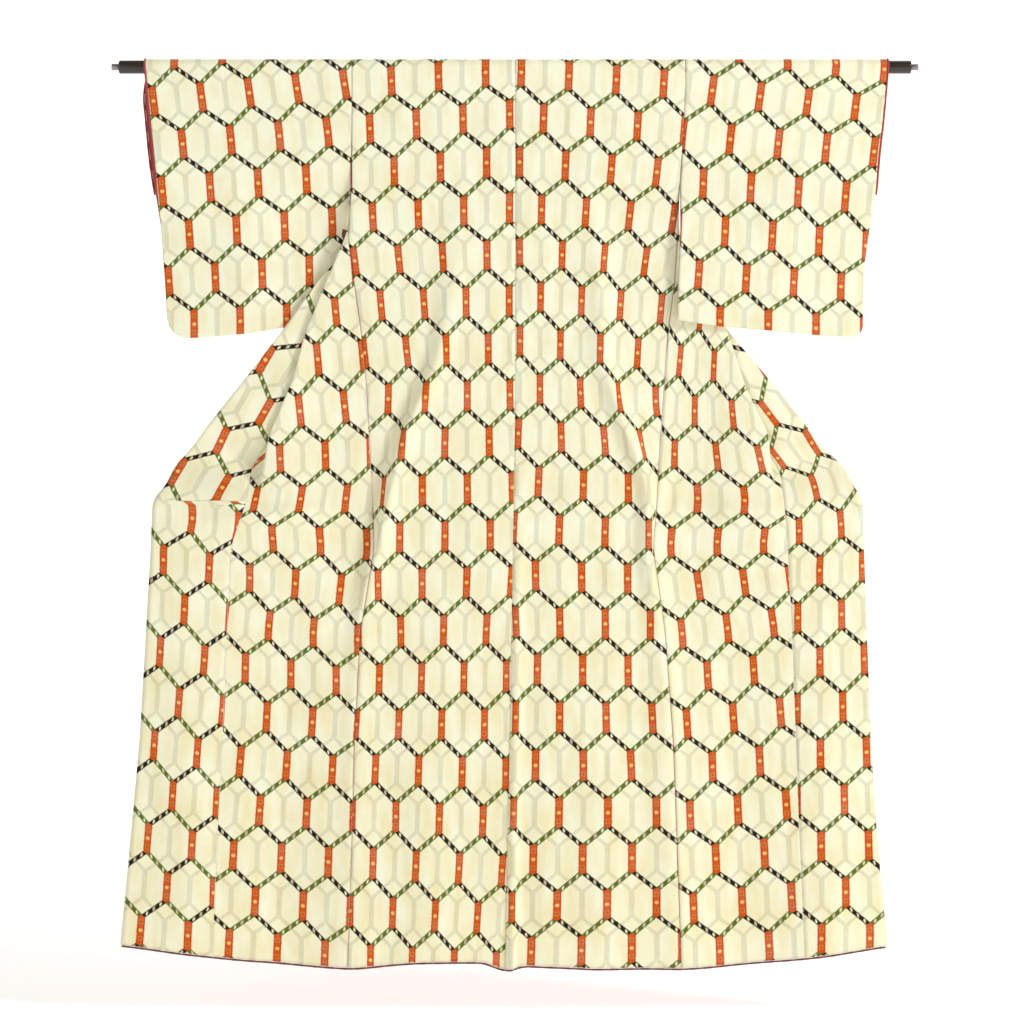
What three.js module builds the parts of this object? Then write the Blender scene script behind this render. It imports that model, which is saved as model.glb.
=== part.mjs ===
// A lined kimono seen from the back, hung by a round pole through both sleeves, with its fronts opened
// out to the sides. Millimetres, +Z up. The back of the garment faces -Y, the pole lies along X and its
// middle is the origin. Every cloth piece is a sheet with a mid surface that is thickened into a wall.
import * as THREE from "three";

const WALL = 1.6; // wall of the lined cloth
const BAND_WALL = 3; // the collar band, folded double
const COVER_WALL = 1; // the over-collar that lies on the band
const SEAM = 0.2; // each piece stops this far short of its seam line
const POLE_RADIUS = 11.8;
const POLE_LEFT = -698.5;
const POLE_RIGHT = 698.5;
const TIP_RADIUS = 5.6;
const TIP_LENGTH = 12.5;
const WRAP = POLE_RADIUS + 0.5 + WALL / 2; // the cloth's radius over the pole
const TURN = 3; // radius of a pressed pleat's edge
const ARC = Math.PI * TURN;
const NECK_HALF = 80;
const COLLAR_END = -752;
const COLLAR_NARROW = 55;
const COLLAR_WIDE = 74;
const COVER_HALF = 455; // half the length of the over-collar
const ROLL_RADIUS = 1.7; // the lining rolled out along hem and cuffs
const CUFF_OPEN = -232; // the open part of the cuff ends here
const ARMHOLE = -190; // the sleeve is sewn on down to here

// The fronts, one row a level. Distances are outward from X = 0.
// seam: the side edge. y: its place in depth. start: the way the cloth leaves it, 0 outward, 180 inward.
// run: flat cloth up to the pleat, first: its first turn, under: cloth hidden in the pleat, second: its
// second turn, past: cloth from there to the front edge, join: the part of it that is the body's.
const COLUMNS = ["z", "seam", "y", "start", "run", "first", "under", "second", "past", "join"];
const LEFT_FRONT = table(COLUMNS, [
  [-45, 287, 13.1, 180, 2, 0, 184, 0, 3, 3],
  [-120, 287, 11.5, 180, 2, 0, 152, 180, 10, 10],
  [-190, 287, 8.5, 180, 2, 0, 130, 180, 44, 44],
  [-250, 290, 4, 180, 2, 0, 114, 180, 73, 73],
  [-277, 292, -5, 90, 2, 90, 115, 180, 88, 78],
  [-303, 294, -12, 0, 2, 180, 119, 180, 104, 84],
  [-380, 284, -12, 0, 46, 180, 125, 180, 145, 100],
  [-470, 271, -12, 0, 95, 180, 116, 180, 164, 86],
  [-560, 263, -12, 0, 128, 180, 80, 180, 173, 66],
  [-650, 258, -12, 0, 172, 180, 38, 180, 164, 36],
  [-735, 253, -12, 0, 188, 50, 4, 50, 150, 6],
  [-762, 252, -12, 0, 192, 0, 4, 0, 171, 4],
  [-850, 247, -12, 0, 200, 0, 4, 0, 171, 30],
  [-1000, 272, -11, 0, 190, 0, 4, 0, 164, 22],
  [-1200, 283, -11, 0, 185, 0, 4, 0, 169, 24],
  [-1400, 288, -10, 0, 180, 0, 4, 0, 186, 34],
  [-1600, 295, -10, 0, 175, 0, 4, 0, 202, 40],
]);
const RIGHT_FRONT = table(COLUMNS, [
  [-45, 300, 13.1, 180, 2, 0, 196, 0, 3, 3],
  [-120, 296, 11.5, 180, 2, 0, 165, 180, 13, 13],
  [-190, 291, 8.5, 180, 2, 0, 140, 180, 42, 42],
  [-250, 289, 4, 180, 2, 0, 123, 180, 69, 69],
  [-277, 288, -5, 90, 2, 90, 120, 180, 81, 71],
  [-303, 287, -12, 0, 2, 180, 119, 180, 91, 73],
  [-380, 282, -12, 0, 43, 180, 125, 180, 115, 75],
  [-470, 270, -12, 0, 102, 180, 122, 180, 130, 58],
  [-560, 264, -12, 0, 136, 180, 85, 180, 141, 40],
  [-650, 258, -12, 0, 185, 180, 38, 180, 123, 20],
  [-735, 252, -12, 0, 193, 50, 4, 50, 128, 4],
  [-762, 250, -12, 0, 196, 0, 4, 0, 143, 4],
  [-850, 243, -12, 0, 204, 0, 4, 0, 144, 10],
  [-1000, 264, -11, 0, 190, 0, 4, 0, 142, 10],
  [-1200, 279, -11, 0, 180, 0, 4, 0, 144, 12],
  [-1400, 286, -10, 0, 172, 0, 4, 0, 157, 20],
  [-1600, 293, -10, 0, 165, 0, 4, 0, 175, 28],
]);

// Soft folds down the cloth: at each level the place of the fold, the step of the cloth outside it away
// from the eye, the height of its ridge towards the eye and the ridge's half width.
const FOLD_COLUMNS = ["z", "x", "step", "ridge", "width"];
const FOLDS = {
  leftBack: table(FOLD_COLUMNS, [
    [-180, -90, 0, 0, 30],
    [-350, -105, 3, 4, 26],
    [-493, -130, 8, 9, 20],
    [-664, -197, 14, 13, 16],
    [-829, -236, 14, 14, 16],
    [-950, -262, 8, 8, 22],
    [-1150, -275, 3, 4, 30],
    [-1600, -285, 0, 6, 34],
  ]),
  rightBack: table(FOLD_COLUMNS, [
    [-180, 112, 0, 0, 30],
    [-334, 148, 4, 5, 24],
    [-500, 153, 8, 9, 20],
    [-605, 183, 12, 12, 16],
    [-762, 234, 14, 14, 16],
    [-862, 234, 12, 13, 16],
    [-1000, 256, 6, 7, 24],
    [-1600, 282, 0, 6, 34],
  ]),
  centre: table(FOLD_COLUMNS, [
    [-780, 8, 0, 0, 9],
    [-900, 6, 2, 4, 9],
    [-1200, 0, 5, 8, 9],
    [-1600, -6, 8, 11, 9],
  ]),
  leftQuarter: table(FOLD_COLUMNS, [
    [-900, -150, 0, 0, 50],
    [-1250, -150, 0, 5, 46],
    [-1600, -155, 0, 9, 46],
  ]),
  rightQuarter: table(FOLD_COLUMNS, [
    [-900, 140, 0, 0, 50],
    [-1250, 145, 0, 5, 46],
    [-1600, 150, 0, 9, 46],
  ]),
  leftFront: table(FOLD_COLUMNS, [
    [-780, -430, 0, 0, 50],
    [-950, -410, 0, -5, 50],
    [-1250, -400, 0, -8, 56],
    [-1600, -410, 0, -11, 60],
  ]),
  rightFront: table(FOLD_COLUMNS, [
    [-780, 420, 0, 0, 50],
    [-950, 400, 0, -5, 50],
    [-1250, 390, 0, -8, 56],
    [-1600, 400, 0, -11, 60],
  ]),
  leftOkumi: table(FOLD_COLUMNS, [
    [-780, -590, 0, 0, 40],
    [-1100, -580, 0, 6, 40],
    [-1600, -590, 0, 9, 46],
  ]),
  rightOkumi: table(FOLD_COLUMNS, [
    [-780, 560, 0, 0, 40],
    [-1100, 545, 0, 6, 40],
    [-1600, 550, 0, 9, 46],
  ]),
};
// Short pulls across the cloth, near the level where the fronts are held out.
const PULLS = [
  { x: -420, z: -790, long: 120, slope: 0.1, height: 9, width: 17 },
  { x: 385, z: -785, long: 120, slope: -0.1, height: 9, width: 17 },
  { x: -470, z: -620, long: 60, slope: -1.1, height: 2.5, width: 24 },
  { x: 470, z: -640, long: 60, slope: 1.1, height: 2.5, width: 24 },
];

const HEM = table(["x", "z"], [
  [-700, -1546],
  [-640, -1553],
  [-465, -1574],
  [-290, -1586],
  [-150, -1576],
  [-62, -1577],
  [-17, -1589],
  [26, -1584],
  [150, -1587],
  [290, -1587],
  [465, -1574],
  [660, -1548],
]);
const CENTRE_LINE = table(["z", "x"], [
  [-1600, -17],
  [-1000, -6],
  [-500, 0],
  [40, 0],
]);

// The sleeves: the inner and the outer edge of the bag at each level, outward from X = 0.
const EDGE_COLUMNS = ["z", "inner", "outer"];
const LEFT_SLEEVE = {
  edges: table(EDGE_COLUMNS, [
    [-480, 296, 612],
    [-390, 296, 618],
    [-289, 296, 625],
    [-190, 288.5, 632],
    [-95, 288, 641],
    [20, 288, 652],
  ]),
  bottom: table(["out", "z"], [
    [290, -446],
    [405, -458],
    [484, -470],
    [577, -477],
    [660, -479],
  ]),
  swing: 22.5,
  corner: 36,
  farWider: 10,
};
const RIGHT_SLEEVE = {
  edges: table(EDGE_COLUMNS, [
    [-480, 284, 612],
    [-377, 287, 614],
    [-289, 290.5, 624],
    [-218, 292, 635],
    [-155, 295.5, 640],
    [-95, 298.5, 647],
    [20, 303, 657],
  ]),
  bottom: table(["out", "z"], [
    [285, -447],
    [362, -458],
    [443, -465],
    [531, -473],
    [620, -477],
  ]),
  swing: -21,
  corner: 20,
  farWider: 3,
};

// A short table as rows with named columns.
function table(columns, rows) {
  return rows.map((row) => Object.fromEntries(columns.map((name, i) => [name, row[i]])));
}

// The row between two table rows at a value of its first column.
function rowAt(rows, key, value) {
  const rising = rows[1][key] > rows[0][key];
  const list = rising ? rows : [...rows].reverse();
  if (value <= list[0][key]) return { ...list[0], [key]: value };
  for (let i = 1; i < list.length; i++) {
    const [a, b] = [list[i - 1], list[i]];
    if (value > b[key]) continue;
    const t = (value - a[key]) / (b[key] - a[key]);
    const mixed = {};
    for (const name of Object.keys(a)) mixed[name] = a[name] + t * (b[name] - a[name]);
    return mixed;
  }
  return { ...list[list.length - 1], [key]: value };
}

function smooth(t) {
  const s = Math.min(1, Math.max(0, t));
  return s * s * (3 - 2 * s);
}

// How far the folds move the cloth along Y at a place of the hanging surface.
function drape(x, z) {
  let y = 0;
  for (const [name, fold] of Object.entries(FOLDS)) {
    if (z > fold[0].z) continue;
    const f = rowAt(fold, "z", z);
    const side = name === "centre" ? 1 : Math.sign(f.x);
    const away = (side * (x - f.x)) / f.width;
    const fade = name === "centre" ? smooth((60 - Math.abs(x - f.x)) / 50) : smooth((420 - Math.abs(x)) / 120);
    y += f.step * smooth(away / 1.6 + 0.1) * fade - f.ridge * Math.exp(-away * away);
  }
  for (const p of PULLS) {
    const along = (x - p.x) / p.long;
    const off = (z - p.z - p.slope * (x - p.x)) / p.width;
    y -= p.height * Math.exp(-along * along - off * off);
  }
  return y;
}

// The depth of the back panel, and of everything that is sewn on at its level, before the folds.
function backDepth(z) {
  return -WRAP + (WRAP - 12) * smooth(-z / 200) + 2 * smooth((-z - 700) / 900);
}

// A mid surface: points and the triangles between them.
class Surface {
  constructor() {
    this.points = [];
    this.faces = [];
  }
  row(points) {
    const first = this.points.length;
    this.points.push(...points);
    return points.map((_, i) => first + i);
  }
  // Fills the strip between two rows of point numbers, which may differ in length.
  zip(a, b) {
    let [i, j] = [0, 0];
    while (i < a.length - 1 || j < b.length - 1) {
      const nextA = (i + 1) / (a.length - 1 || 1);
      const nextB = (j + 1) / (b.length - 1 || 1);
      if (j === b.length - 1 || (i < a.length - 1 && nextA <= nextB + 1e-9)) {
        this.faces.push([a[i], a[i + 1], b[j]]);
        i++;
      } else {
        this.faces.push([a[i], b[j + 1], b[j]]);
        j++;
      }
    }
  }
  strips(rows) {
    for (let i = 1; i < rows.length; i++) this.zip(rows[i - 1], rows[i]);
  }
  // The direction square to the surface at each point.
  normals() {
    const n = this.points.map(() => new THREE.Vector3());
    const p = this.points.map((q) => new THREE.Vector3(...q));
    for (const f of this.faces) {
      const [a, b, c] = f.map((i) => p[i]);
      const square = b.clone().sub(a).cross(c.clone().sub(a)).normalize();
      f.forEach((i, k) => {
        const u = p[f[(k + 1) % 3]].clone().sub(p[i]);
        const v = p[f[(k + 2) % 3]].clone().sub(p[i]);
        n[i].addScaledVector(square, u.angleTo(v));
      });
    }
    return n.map((v) => v.normalize());
  }
  // The closed wall round the mid surface, half the thickness to each side.
  thicken(thickness) {
    const edges = new Map();
    for (const f of this.faces)
      f.forEach((s, k) => {
        const e = f[(k + 1) % 3];
        if (edges.has(e + "," + s)) edges.delete(e + "," + s);
        else edges.set(s + "," + e, [s, e]);
      });
    const n = this.normals();
    const count = this.points.length;
    const out = [];
    for (const sign of [1, -1])
      this.points.forEach((q, i) => {
        out.push(...new THREE.Vector3(...q).addScaledVector(n[i], (sign * thickness) / 2));
      });
    const index = [];
    for (const [a, b, c] of this.faces) index.push(a, b, c, count + a, count + c, count + b);
    for (const [s, e] of edges.values()) index.push(s, count + s, e, e, count + s, count + e);
    const g = new THREE.BufferGeometry();
    g.setAttribute("position", new THREE.Float32BufferAttribute(out, 3));
    g.setIndex(index);
    return outward(g);
  }
}

// Turns a closed geometry so that its faces point out.
function outward(g) {
  const p = g.getAttribute("position");
  const index = g.getIndex().array;
  let volume = 0;
  const [a, b, c] = [0, 1, 2].map(() => new THREE.Vector3());
  for (let i = 0; i < index.length; i += 3) {
    a.fromBufferAttribute(p, index[i]);
    b.fromBufferAttribute(p, index[i + 1]);
    c.fromBufferAttribute(p, index[i + 2]);
    volume += a.dot(b.cross(c));
  }
  if (volume < 0) for (let i = 0; i < index.length; i += 3) [index[i], index[i + 1]] = [index[i + 1], index[i]];
  g.computeVertexNormals();
  return g;
}

function fractions(n) {
  return Array.from({ length: n + 1 }, (_, i) => i / n);
}

// One level of a front as a walked line from the side seam to the front edge: lists of outward place and
// depth, with the numbers of the points where the body ends and the front panel begins.
function frontSection(rows, z) {
  const r = rowAt(rows, "z", z);
  const path = [];
  let [out, y, turned] = [r.seam + SEAM, r.y, r.start];
  const step = (length, turn, parts) => {
    for (let i = 0; i < parts; i++) {
      const way = ((turned + (turn * (i + 0.5)) / parts) * Math.PI) / 180;
      out += (Math.cos(way) * length) / parts;
      y += (Math.sin(way) * length) / parts;
      path.push([out, y]);
    }
    turned += turn;
  };
  path.push([out, y]);
  step(r.run, 0, 6);
  step(ARC, r.first, 3);
  step(r.under, 0, 3);
  step(ARC, -r.second, 3);
  step(Math.max(1, r.join - SEAM), 0, 2);
  const bodyEnd = path.length - 1;
  const rest = Math.max(0.5, r.past - r.join - SEAM);
  step(2 * SEAM, 0, 1);
  const okumiStart = path.length - 1;
  step(rest, 0, 4);
  return { path, bodyEnd, okumiStart };
}

// The same level as points of the hanging cloth.
function placed(side, [out, y], z) {
  const x = side * out;
  return [x, y + drape(x, z), z];
}

function hemAt(x) {
  return rowAt(HEM, "x", x).z;
}

// Levels for the hanging cloth; the last ones are stretched to the hem line.
const UPPER = [-60, -120, -190, -250, -277, -303, -340, -380, -425, -470, -515, -560, -605, -650, -695, -735];
const LOWER = [-762, -790, -850, -940, -1060, -1200, -1330, -1470, -1600];
const LAST = -1600;

// Levels below the held place end on the hem: each is moved by its share of the hem's distance.
function lowered(x, z) {
  const from = LOWER[0];
  if (z > from) return z;
  const t = (from - z) / (from - LAST);
  return from + t * (hemAt(x) - from);
}

function hung(side, pair, z) {
  const level = lowered(side * pair[0], z);
  return placed(side, pair, level);
}

function bodyPiece(side, rows) {
  const s = new Surface();
  const neckShare = 4;
  const sideShare = 10;
  const backRow = (z, y) => {
    const seam = rowAt(rows, "z", Math.min(z, -45)).seam;
    const middle = side * rowAt(CENTRE_LINE, "z", z).x + SEAM;
    const neck = middle + (seam - SEAM - middle) * (NECK_HALF / 287);
    const outs = [
      ...fractions(neckShare).map((t) => middle + t * (neck - middle)),
      ...fractions(sideShare).slice(1).map((t) => neck + t * (seam - SEAM - neck)),
    ];
    return outs.map((out) => {
      const level = lowered(side * out, z);
      return [side * out, y === undefined ? backDepth(level) + drape(side * out, level) : y, level];
    });
  };
  const levels = [...UPPER, ...LOWER].reverse().filter((z) => ![-277, -340, -425].includes(z));
  const grid = levels.map((z) => s.row(backRow(z)));
  for (const degrees of [0, 30, 60, 90, 120, 150, 180]) {
    const a = (degrees * Math.PI) / 180;
    grid.push(s.row(backRow(WRAP * Math.sin(a), -WRAP * Math.cos(a))));
  }
  grid.push(s.row(backRow(-44, WRAP)));
  s.strips(grid);
  // The front hangs on from the part of the last row outside the neck.
  const shoulder = grid[grid.length - 1].slice(neckShare);
  const front = [...UPPER, ...LOWER].map((z) => {
    const { path, bodyEnd } = frontSection(rows, z);
    return s.row(path.slice(0, bodyEnd + 1).reverse().map((pair) => hung(side, pair, z)));
  });
  s.zip(shoulder, front[0]);
  s.strips(front);
  return s.thicken(WALL);
}

function okumiPiece(side, rows) {
  const s = new Surface();
  const grid = [...UPPER.slice(4), ...LOWER].map((z) => {
    const { path, okumiStart } = frontSection(rows, z);
    return s.row(path.slice(okumiStart).map((pair) => hung(side, pair, z)));
  });
  s.strips(grid);
  return s.thicken(WALL);
}

// A sleeve bag: one loop from the bottom up the near wall, over the pole and down the far wall.
function sleevePiece(side, sleeve) {
  const s = new Surface();
  const stations = [0, 0.1, 0.24, 0.4, 0.56, 0.72, 0.86, 0.94, 0.975, 1];
  const shares = [0.08, 0.2, 0.34, 0.46, 0.56, 0.66, 0.8, 0.92, 1];
  const columns = stations.map((t) => {
    const outAt = (z, far) => {
      const e = rowAt(sleeve.edges, "z", z);
      const wider = far ? sleeve.farWider * smooth(-z / 60) * smooth((z + 300) / 150) : 0;
      return e.inner + SEAM + t * (e.outer + wider - e.inner - SEAM);
    };
    const low0 = outAt(-470, false);
    const flat = rowAt(sleeve.bottom, "out", low0).z;
    const edge = rowAt(sleeve.edges, "z", -470).outer;
    const past = Math.min(1, Math.max(0, (low0 - (edge - sleeve.corner)) / sleeve.corner));
    const bottom = flat + sleeve.corner * (1 - Math.sqrt(1 - past * past));
    const gap = (z) => {
      const bag = 3 + (WRAP - 3) * smooth(1 + z / 330) ** 0.8;
      const shut = smooth((t - 0.9) / 0.1) * smooth((CUFF_OPEN - z) / 40);
      return bag + (1.6 - bag) * shut;
    };
    const middle = (z) => {
      const down = smooth((ARMHOLE + 20 - z) / 130);
      return sleeve.swing * down * (1 - 0.6 * smooth(t * 1.1)) - 6 * Math.exp(-(((t - 0.55) / 0.16) ** 2)) * down;
    };
    const loop = [];
    const wall = (far) => shares.map((q) => {
      const z = q * (bottom + gap(bottom));
      return [side * outAt(z, far), middle(z) + (far ? 1 : -1) * gap(z), z];
    });
    loop.push(...wall(false).reverse());
    for (const degrees of [0, 30, 60, 90, 120, 150, 180]) {
      const a = (degrees * Math.PI) / 180;
      const z = WRAP * Math.sin(a);
      loop.push([side * outAt(z, false), -WRAP * Math.cos(a), z]);
    }
    loop.push(...wall(true));
    const low = bottom + gap(bottom);
    for (const degrees of [45, 90, 135]) {
      const a = (degrees * Math.PI) / 180;
      const z = low - gap(low) * Math.sin(a);
      loop.push([side * outAt(z, false), middle(low) + gap(low) * Math.cos(a), z]);
    }
    return loop;
  });
  const grid = columns.map((loop) => s.row(loop));
  const closed = grid.map((row) => [...row, row[0]]);
  s.strips(closed);
  return s.thicken(WALL);
}

// The collar seam from the left front's end, up behind the back and round the neck, to the right end.
function collarLine() {
  const ends = [COLLAR_END, -735, -700, -650, -605, -560, -515, -470, -425, -380, -340, -303, -277, -250, -190, -150, -120];
  const leg = (side, rows) => ends.map((z) => {
    const { path } = frontSection(rows, z);
    const [out, y] = path[path.length - 1];
    return new THREE.Vector3(side * (out - 1), y, z);
  });
  const left = leg(-1, LEFT_FRONT);
  const right = leg(1, RIGHT_FRONT).reverse();
  const neck = [-84, -60, -30, 0, 30, 60, 84].map((x) => new THREE.Vector3(x, WRAP, Math.abs(x) > 80 ? -62 : -47));
  return [...left, ...neck, ...right];
}

// The collar band's halves, joined behind the neck, and, made from the band's points moved out along their normals,
// the over-collar on its middle.
function collarPieces() {
  const line = new THREE.CatmullRomCurve3(collarLine(), false, "centripetal");
  const count = 48;
  const across = 3;
  const points = line.getSpacedPoints(count * 4);
  const half = line.getLength() / 2;
  const rows = fractions(count).map((share, i) => {
    const along = (2 * share - 1) * half;
    const here = points[i * 4];
    const way = points[Math.min(count * 4, i * 4 + 9)].clone().sub(points[Math.max(0, i * 4 - 9)]);
    const inward = new THREE.Vector3(way.z, 0, -way.x).normalize();
    const width = COLLAR_NARROW + (COLLAR_WIDE - COLLAR_NARROW) * smooth((Math.abs(along) - 150) / 650);
    return fractions(across).map((t) => {
      const q = here.clone().addScaledVector(inward, t * width);
      return [q.x, bandDepth(q.x, q.z) + drape(q.x, q.z), q.z];
    });
  });
  const collar = new Surface();
  collar.strips(rows.map((row) => collar.row(row)));
  const middle = count / 2;
  const seamed = (sign) => rows[middle].map(([x, y, z]) => [x + sign * SEAM, y, z]);
  const halves = [[...rows.slice(0, middle), seamed(-1)], [seamed(1), ...rows.slice(middle + 1)]].map((part) => {
    const band = new Surface();
    band.strips(part.map((row) => band.row(row)));
    return band.thicken(BAND_WALL);
  });
  const cover = new Surface();
  const reach = Math.round((COVER_HALF / half) * (count / 2));
  const kept = [count / 2 - reach, count / 2 + reach];
  const up = collar.normals();
  const side = up.reduce((sum, n) => sum + n.y, 0) > 0 ? 1 : -1;
  const moved = rows.slice(kept[0], kept[1] + 1).map((row, i) => row.map((q, k) => {
    const n = up[(kept[0] + i) * (across + 1) + k];
    return new THREE.Vector3(...q).addScaledVector(n, side * (BAND_WALL / 2 + 0.3 + COVER_WALL / 2)).toArray();
  }));
  cover.strips(moved.map((row) => cover.row(row)));
  return [...halves, cover.thicken(COVER_WALL)];
}

// The depth of the band's middle over the layer it lies on, which is the outermost one near that level.
function bandDepth(x, z) {
  const rows = x < 0 ? LEFT_FRONT : RIGHT_FRONT;
  const layer = (level) => {
    const { path } = frontSection(rows, Math.min(-46, level));
    return Math.max(path[path.length - 1][1], path[path.length - 6][1]);
  };
  return Math.max(layer(z + 45), layer(z + 20), layer(z), layer(z - 20)) + WALL / 2 + 1.2 + BAND_WALL / 2;
}

// A round roll along a line of points.
function roll(points, radius) {
  const ring = 6;
  const index = [];
  const out = [];
  const line = points.map((p) => new THREE.Vector3(...p));
  line.forEach((p, i) => {
    const way = line[Math.min(i + 1, line.length - 1)].clone().sub(line[Math.max(i - 1, 0)]).normalize();
    const up = Math.abs(way.x) > 0.7 ? new THREE.Vector3(0, 1, 0) : new THREE.Vector3(1, 0, 0);
    const a = up.clone().addScaledVector(way, -up.dot(way)).normalize();
    const b = way.clone().cross(a);
    for (let k = 0; k < ring; k++) {
      const t = (2 * Math.PI * k) / ring;
      out.push(...p.clone().addScaledVector(a, radius * Math.cos(t)).addScaledVector(b, radius * Math.sin(t)));
    }
  });
  const last = line.length - 1;
  for (let i = 0; i < last; i++)
    for (let k = 0; k < ring; k++) {
      const [p, q] = [i * ring + k, i * ring + ((k + 1) % ring)];
      index.push(p, q, p + ring, q, q + ring, p + ring);
    }
  for (let k = 1; k < ring - 1; k++) {
    index.push(0, k + 1, k);
    index.push(last * ring, last * ring + k, last * ring + k + 1);
  }
  const g = new THREE.BufferGeometry();
  g.setAttribute("position", new THREE.Float32BufferAttribute(out, 3));
  g.setIndex(index);
  return outward(g);
}

// The lining rolled out under the hem, from the centre seam to the front edge.
function hemRoll(side, rows) {
  const below = ROLL_RADIUS + 0.7;
  const middle = side * rowAt(CENTRE_LINE, "z", -1590).x + 0.6;
  const seam = rowAt(rows, "z", LAST).seam;
  const back = fractions(12).map((t) => {
    const x = side * (middle + t * (seam - middle));
    const z = hemAt(x);
    return [x, backDepth(z) + drape(x, z), z - below];
  });
  const { path } = frontSection(rows, LAST);
  const front = path.filter((_, i) => i > 0 && i % 2 === 0).map((pair) => {
    const p = hung(side, pair, LAST);
    return [p[0], p[1], p[2] - below];
  });
  return roll([...back, ...front.filter((p) => Math.abs(p[0]) > seam + 12)], ROLL_RADIUS);
}

// The lining rolled out round the open cuff.
function cuffRoll(side, sleeve) {
  const out = (z, far) => {
    const wider = far ? sleeve.farWider * smooth(-z / 60) * smooth((z + 300) / 150) : 0;
    return side * (rowAt(sleeve.edges, "z", z).outer + wider + ROLL_RADIUS + 1.5);
  };
  const gap = (z) => 3 + (WRAP - 3) * smooth(1 + z / 330) ** 0.8;
  const middle = (z) => sleeve.swing * smooth((ARMHOLE + 20 - z) / 130) * 0.4;
  const levels = [-225, -190, -150, -110, -75, -40, -15];
  const near = levels.map((z) => [out(z, false), middle(z) - gap(z), z]);
  const far = levels.map((z) => [out(z, true), middle(z) + gap(z), z]).reverse();
  const top = [15, 45, 75, 105, 135, 165].map((degrees) => {
    const a = (degrees * Math.PI) / 180;
    const over = POLE_RADIUS + ROLL_RADIUS + 0.6;
    return [out(0, false), -over * Math.cos(a), over * Math.sin(a)];
  });
  return roll([...near, ...top, ...far], ROLL_RADIUS);
}

function turned(profile, segments) {
  const g = new THREE.LatheGeometry(profile.map(([r, h]) => new THREE.Vector2(r, h)), segments);
  g.rotateZ(-Math.PI / 2);
  return g;
}

const cloth = new THREE.MeshStandardMaterial({ color: 0xf3efd6, roughness: 0.9 });
const lining = new THREE.MeshStandardMaterial({ color: 0x8e2118, roughness: 0.85 });
const wood = new THREE.MeshStandardMaterial({ color: 0x35211a, roughness: 0.35 });
const metal = new THREE.MeshStandardMaterial({ color: 0x6f6f70, roughness: 0.4, metalness: 0.8 });

const kimono = new THREE.Group();
kimono.name = "kimono";
function add(name, geometry, material) {
  const mesh = new THREE.Mesh(geometry, material);
  mesh.name = name;
  kimono.add(mesh);
}

add("body_left", bodyPiece(-1, LEFT_FRONT), cloth);
add("body_right", bodyPiece(1, RIGHT_FRONT), cloth);
add("okumi_left", okumiPiece(-1, LEFT_FRONT), cloth);
add("okumi_right", okumiPiece(1, RIGHT_FRONT), cloth);
add("sleeve_left", sleevePiece(-1, LEFT_SLEEVE), cloth);
add("sleeve_right", sleevePiece(1, RIGHT_SLEEVE), cloth);
const [collarLeft, collarRight, overCollar] = collarPieces();
add("collar_left", collarLeft, cloth);
add("collar_right", collarRight, cloth);
add("over_collar", overCollar, cloth);
add("hem_roll_left", hemRoll(-1, LEFT_FRONT), lining);
add("hem_roll_right", hemRoll(1, RIGHT_FRONT), lining);
add("cuff_roll_left", cuffRoll(-1, LEFT_SLEEVE), lining);
add("cuff_roll_right", cuffRoll(1, RIGHT_SLEEVE), lining);
const r = POLE_RADIUS;
add("pole", turned([[0, POLE_LEFT], [r - 2.5, POLE_LEFT], [r - 0.7, POLE_LEFT + 0.8], [r, POLE_LEFT + 3],
  [r, POLE_RIGHT - 3], [r - 0.7, POLE_RIGHT - 0.8], [r - 2.5, POLE_RIGHT], [0, POLE_RIGHT]], 24), wood);
for (const [name, from, to] of [
  ["tip_left", POLE_LEFT - 0.3 - TIP_LENGTH, POLE_LEFT - 0.3],
  ["tip_right", POLE_RIGHT + 0.3, POLE_RIGHT + 0.3 + TIP_LENGTH],
]) add(name, turned([[0, from], [TIP_RADIUS, from], [TIP_RADIUS, to], [0, to]], 20), metal);

export default kimono;
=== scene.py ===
"""The looks of a lined kimono that hangs by a pole with its fronts opened out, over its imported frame."""

from __future__ import annotations

import logging
import math
from dataclasses import dataclass, field
from enum import Enum
from typing import NamedTuple, Sequence

import bmesh
import bpy
import numpy as np
from mathutils import Matrix, Vector


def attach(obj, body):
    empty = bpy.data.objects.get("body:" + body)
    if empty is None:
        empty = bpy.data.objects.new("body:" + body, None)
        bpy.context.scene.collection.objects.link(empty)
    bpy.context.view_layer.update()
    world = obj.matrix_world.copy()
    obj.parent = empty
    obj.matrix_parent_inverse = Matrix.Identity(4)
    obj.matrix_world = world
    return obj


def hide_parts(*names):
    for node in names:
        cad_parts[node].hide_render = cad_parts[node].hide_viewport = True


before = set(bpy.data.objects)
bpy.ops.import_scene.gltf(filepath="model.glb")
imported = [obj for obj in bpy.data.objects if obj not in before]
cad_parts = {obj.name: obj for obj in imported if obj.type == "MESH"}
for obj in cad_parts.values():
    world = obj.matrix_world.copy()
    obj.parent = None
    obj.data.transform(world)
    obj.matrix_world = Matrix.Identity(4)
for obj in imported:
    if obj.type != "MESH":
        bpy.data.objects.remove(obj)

Color = tuple[float, float, float, float]

LOG = logging.getLogger("kimono")
MM = 0.001

# Walls and seams, mm. SEAM is half the gap between two pieces.
WALL = 1.6
BAND_WALL = 3.0
COVER_WALL = 1.0
COVER_GAP = 0.3
PEEP_WALL = 1.2
SEAM = 0.2
GROOVE_DEPTH = 1.3
GROOVE_WIDTH = 5.0
ROLL_RADIUS = 1.7

# The pole and its tips, mm.
POLE_RADIUS = 11.8
POLE_HALF = 698.5
TIP_RADIUS = 5.6
TIP_LENGTH = 12.5
TIP_GAP = 0.3

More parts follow.
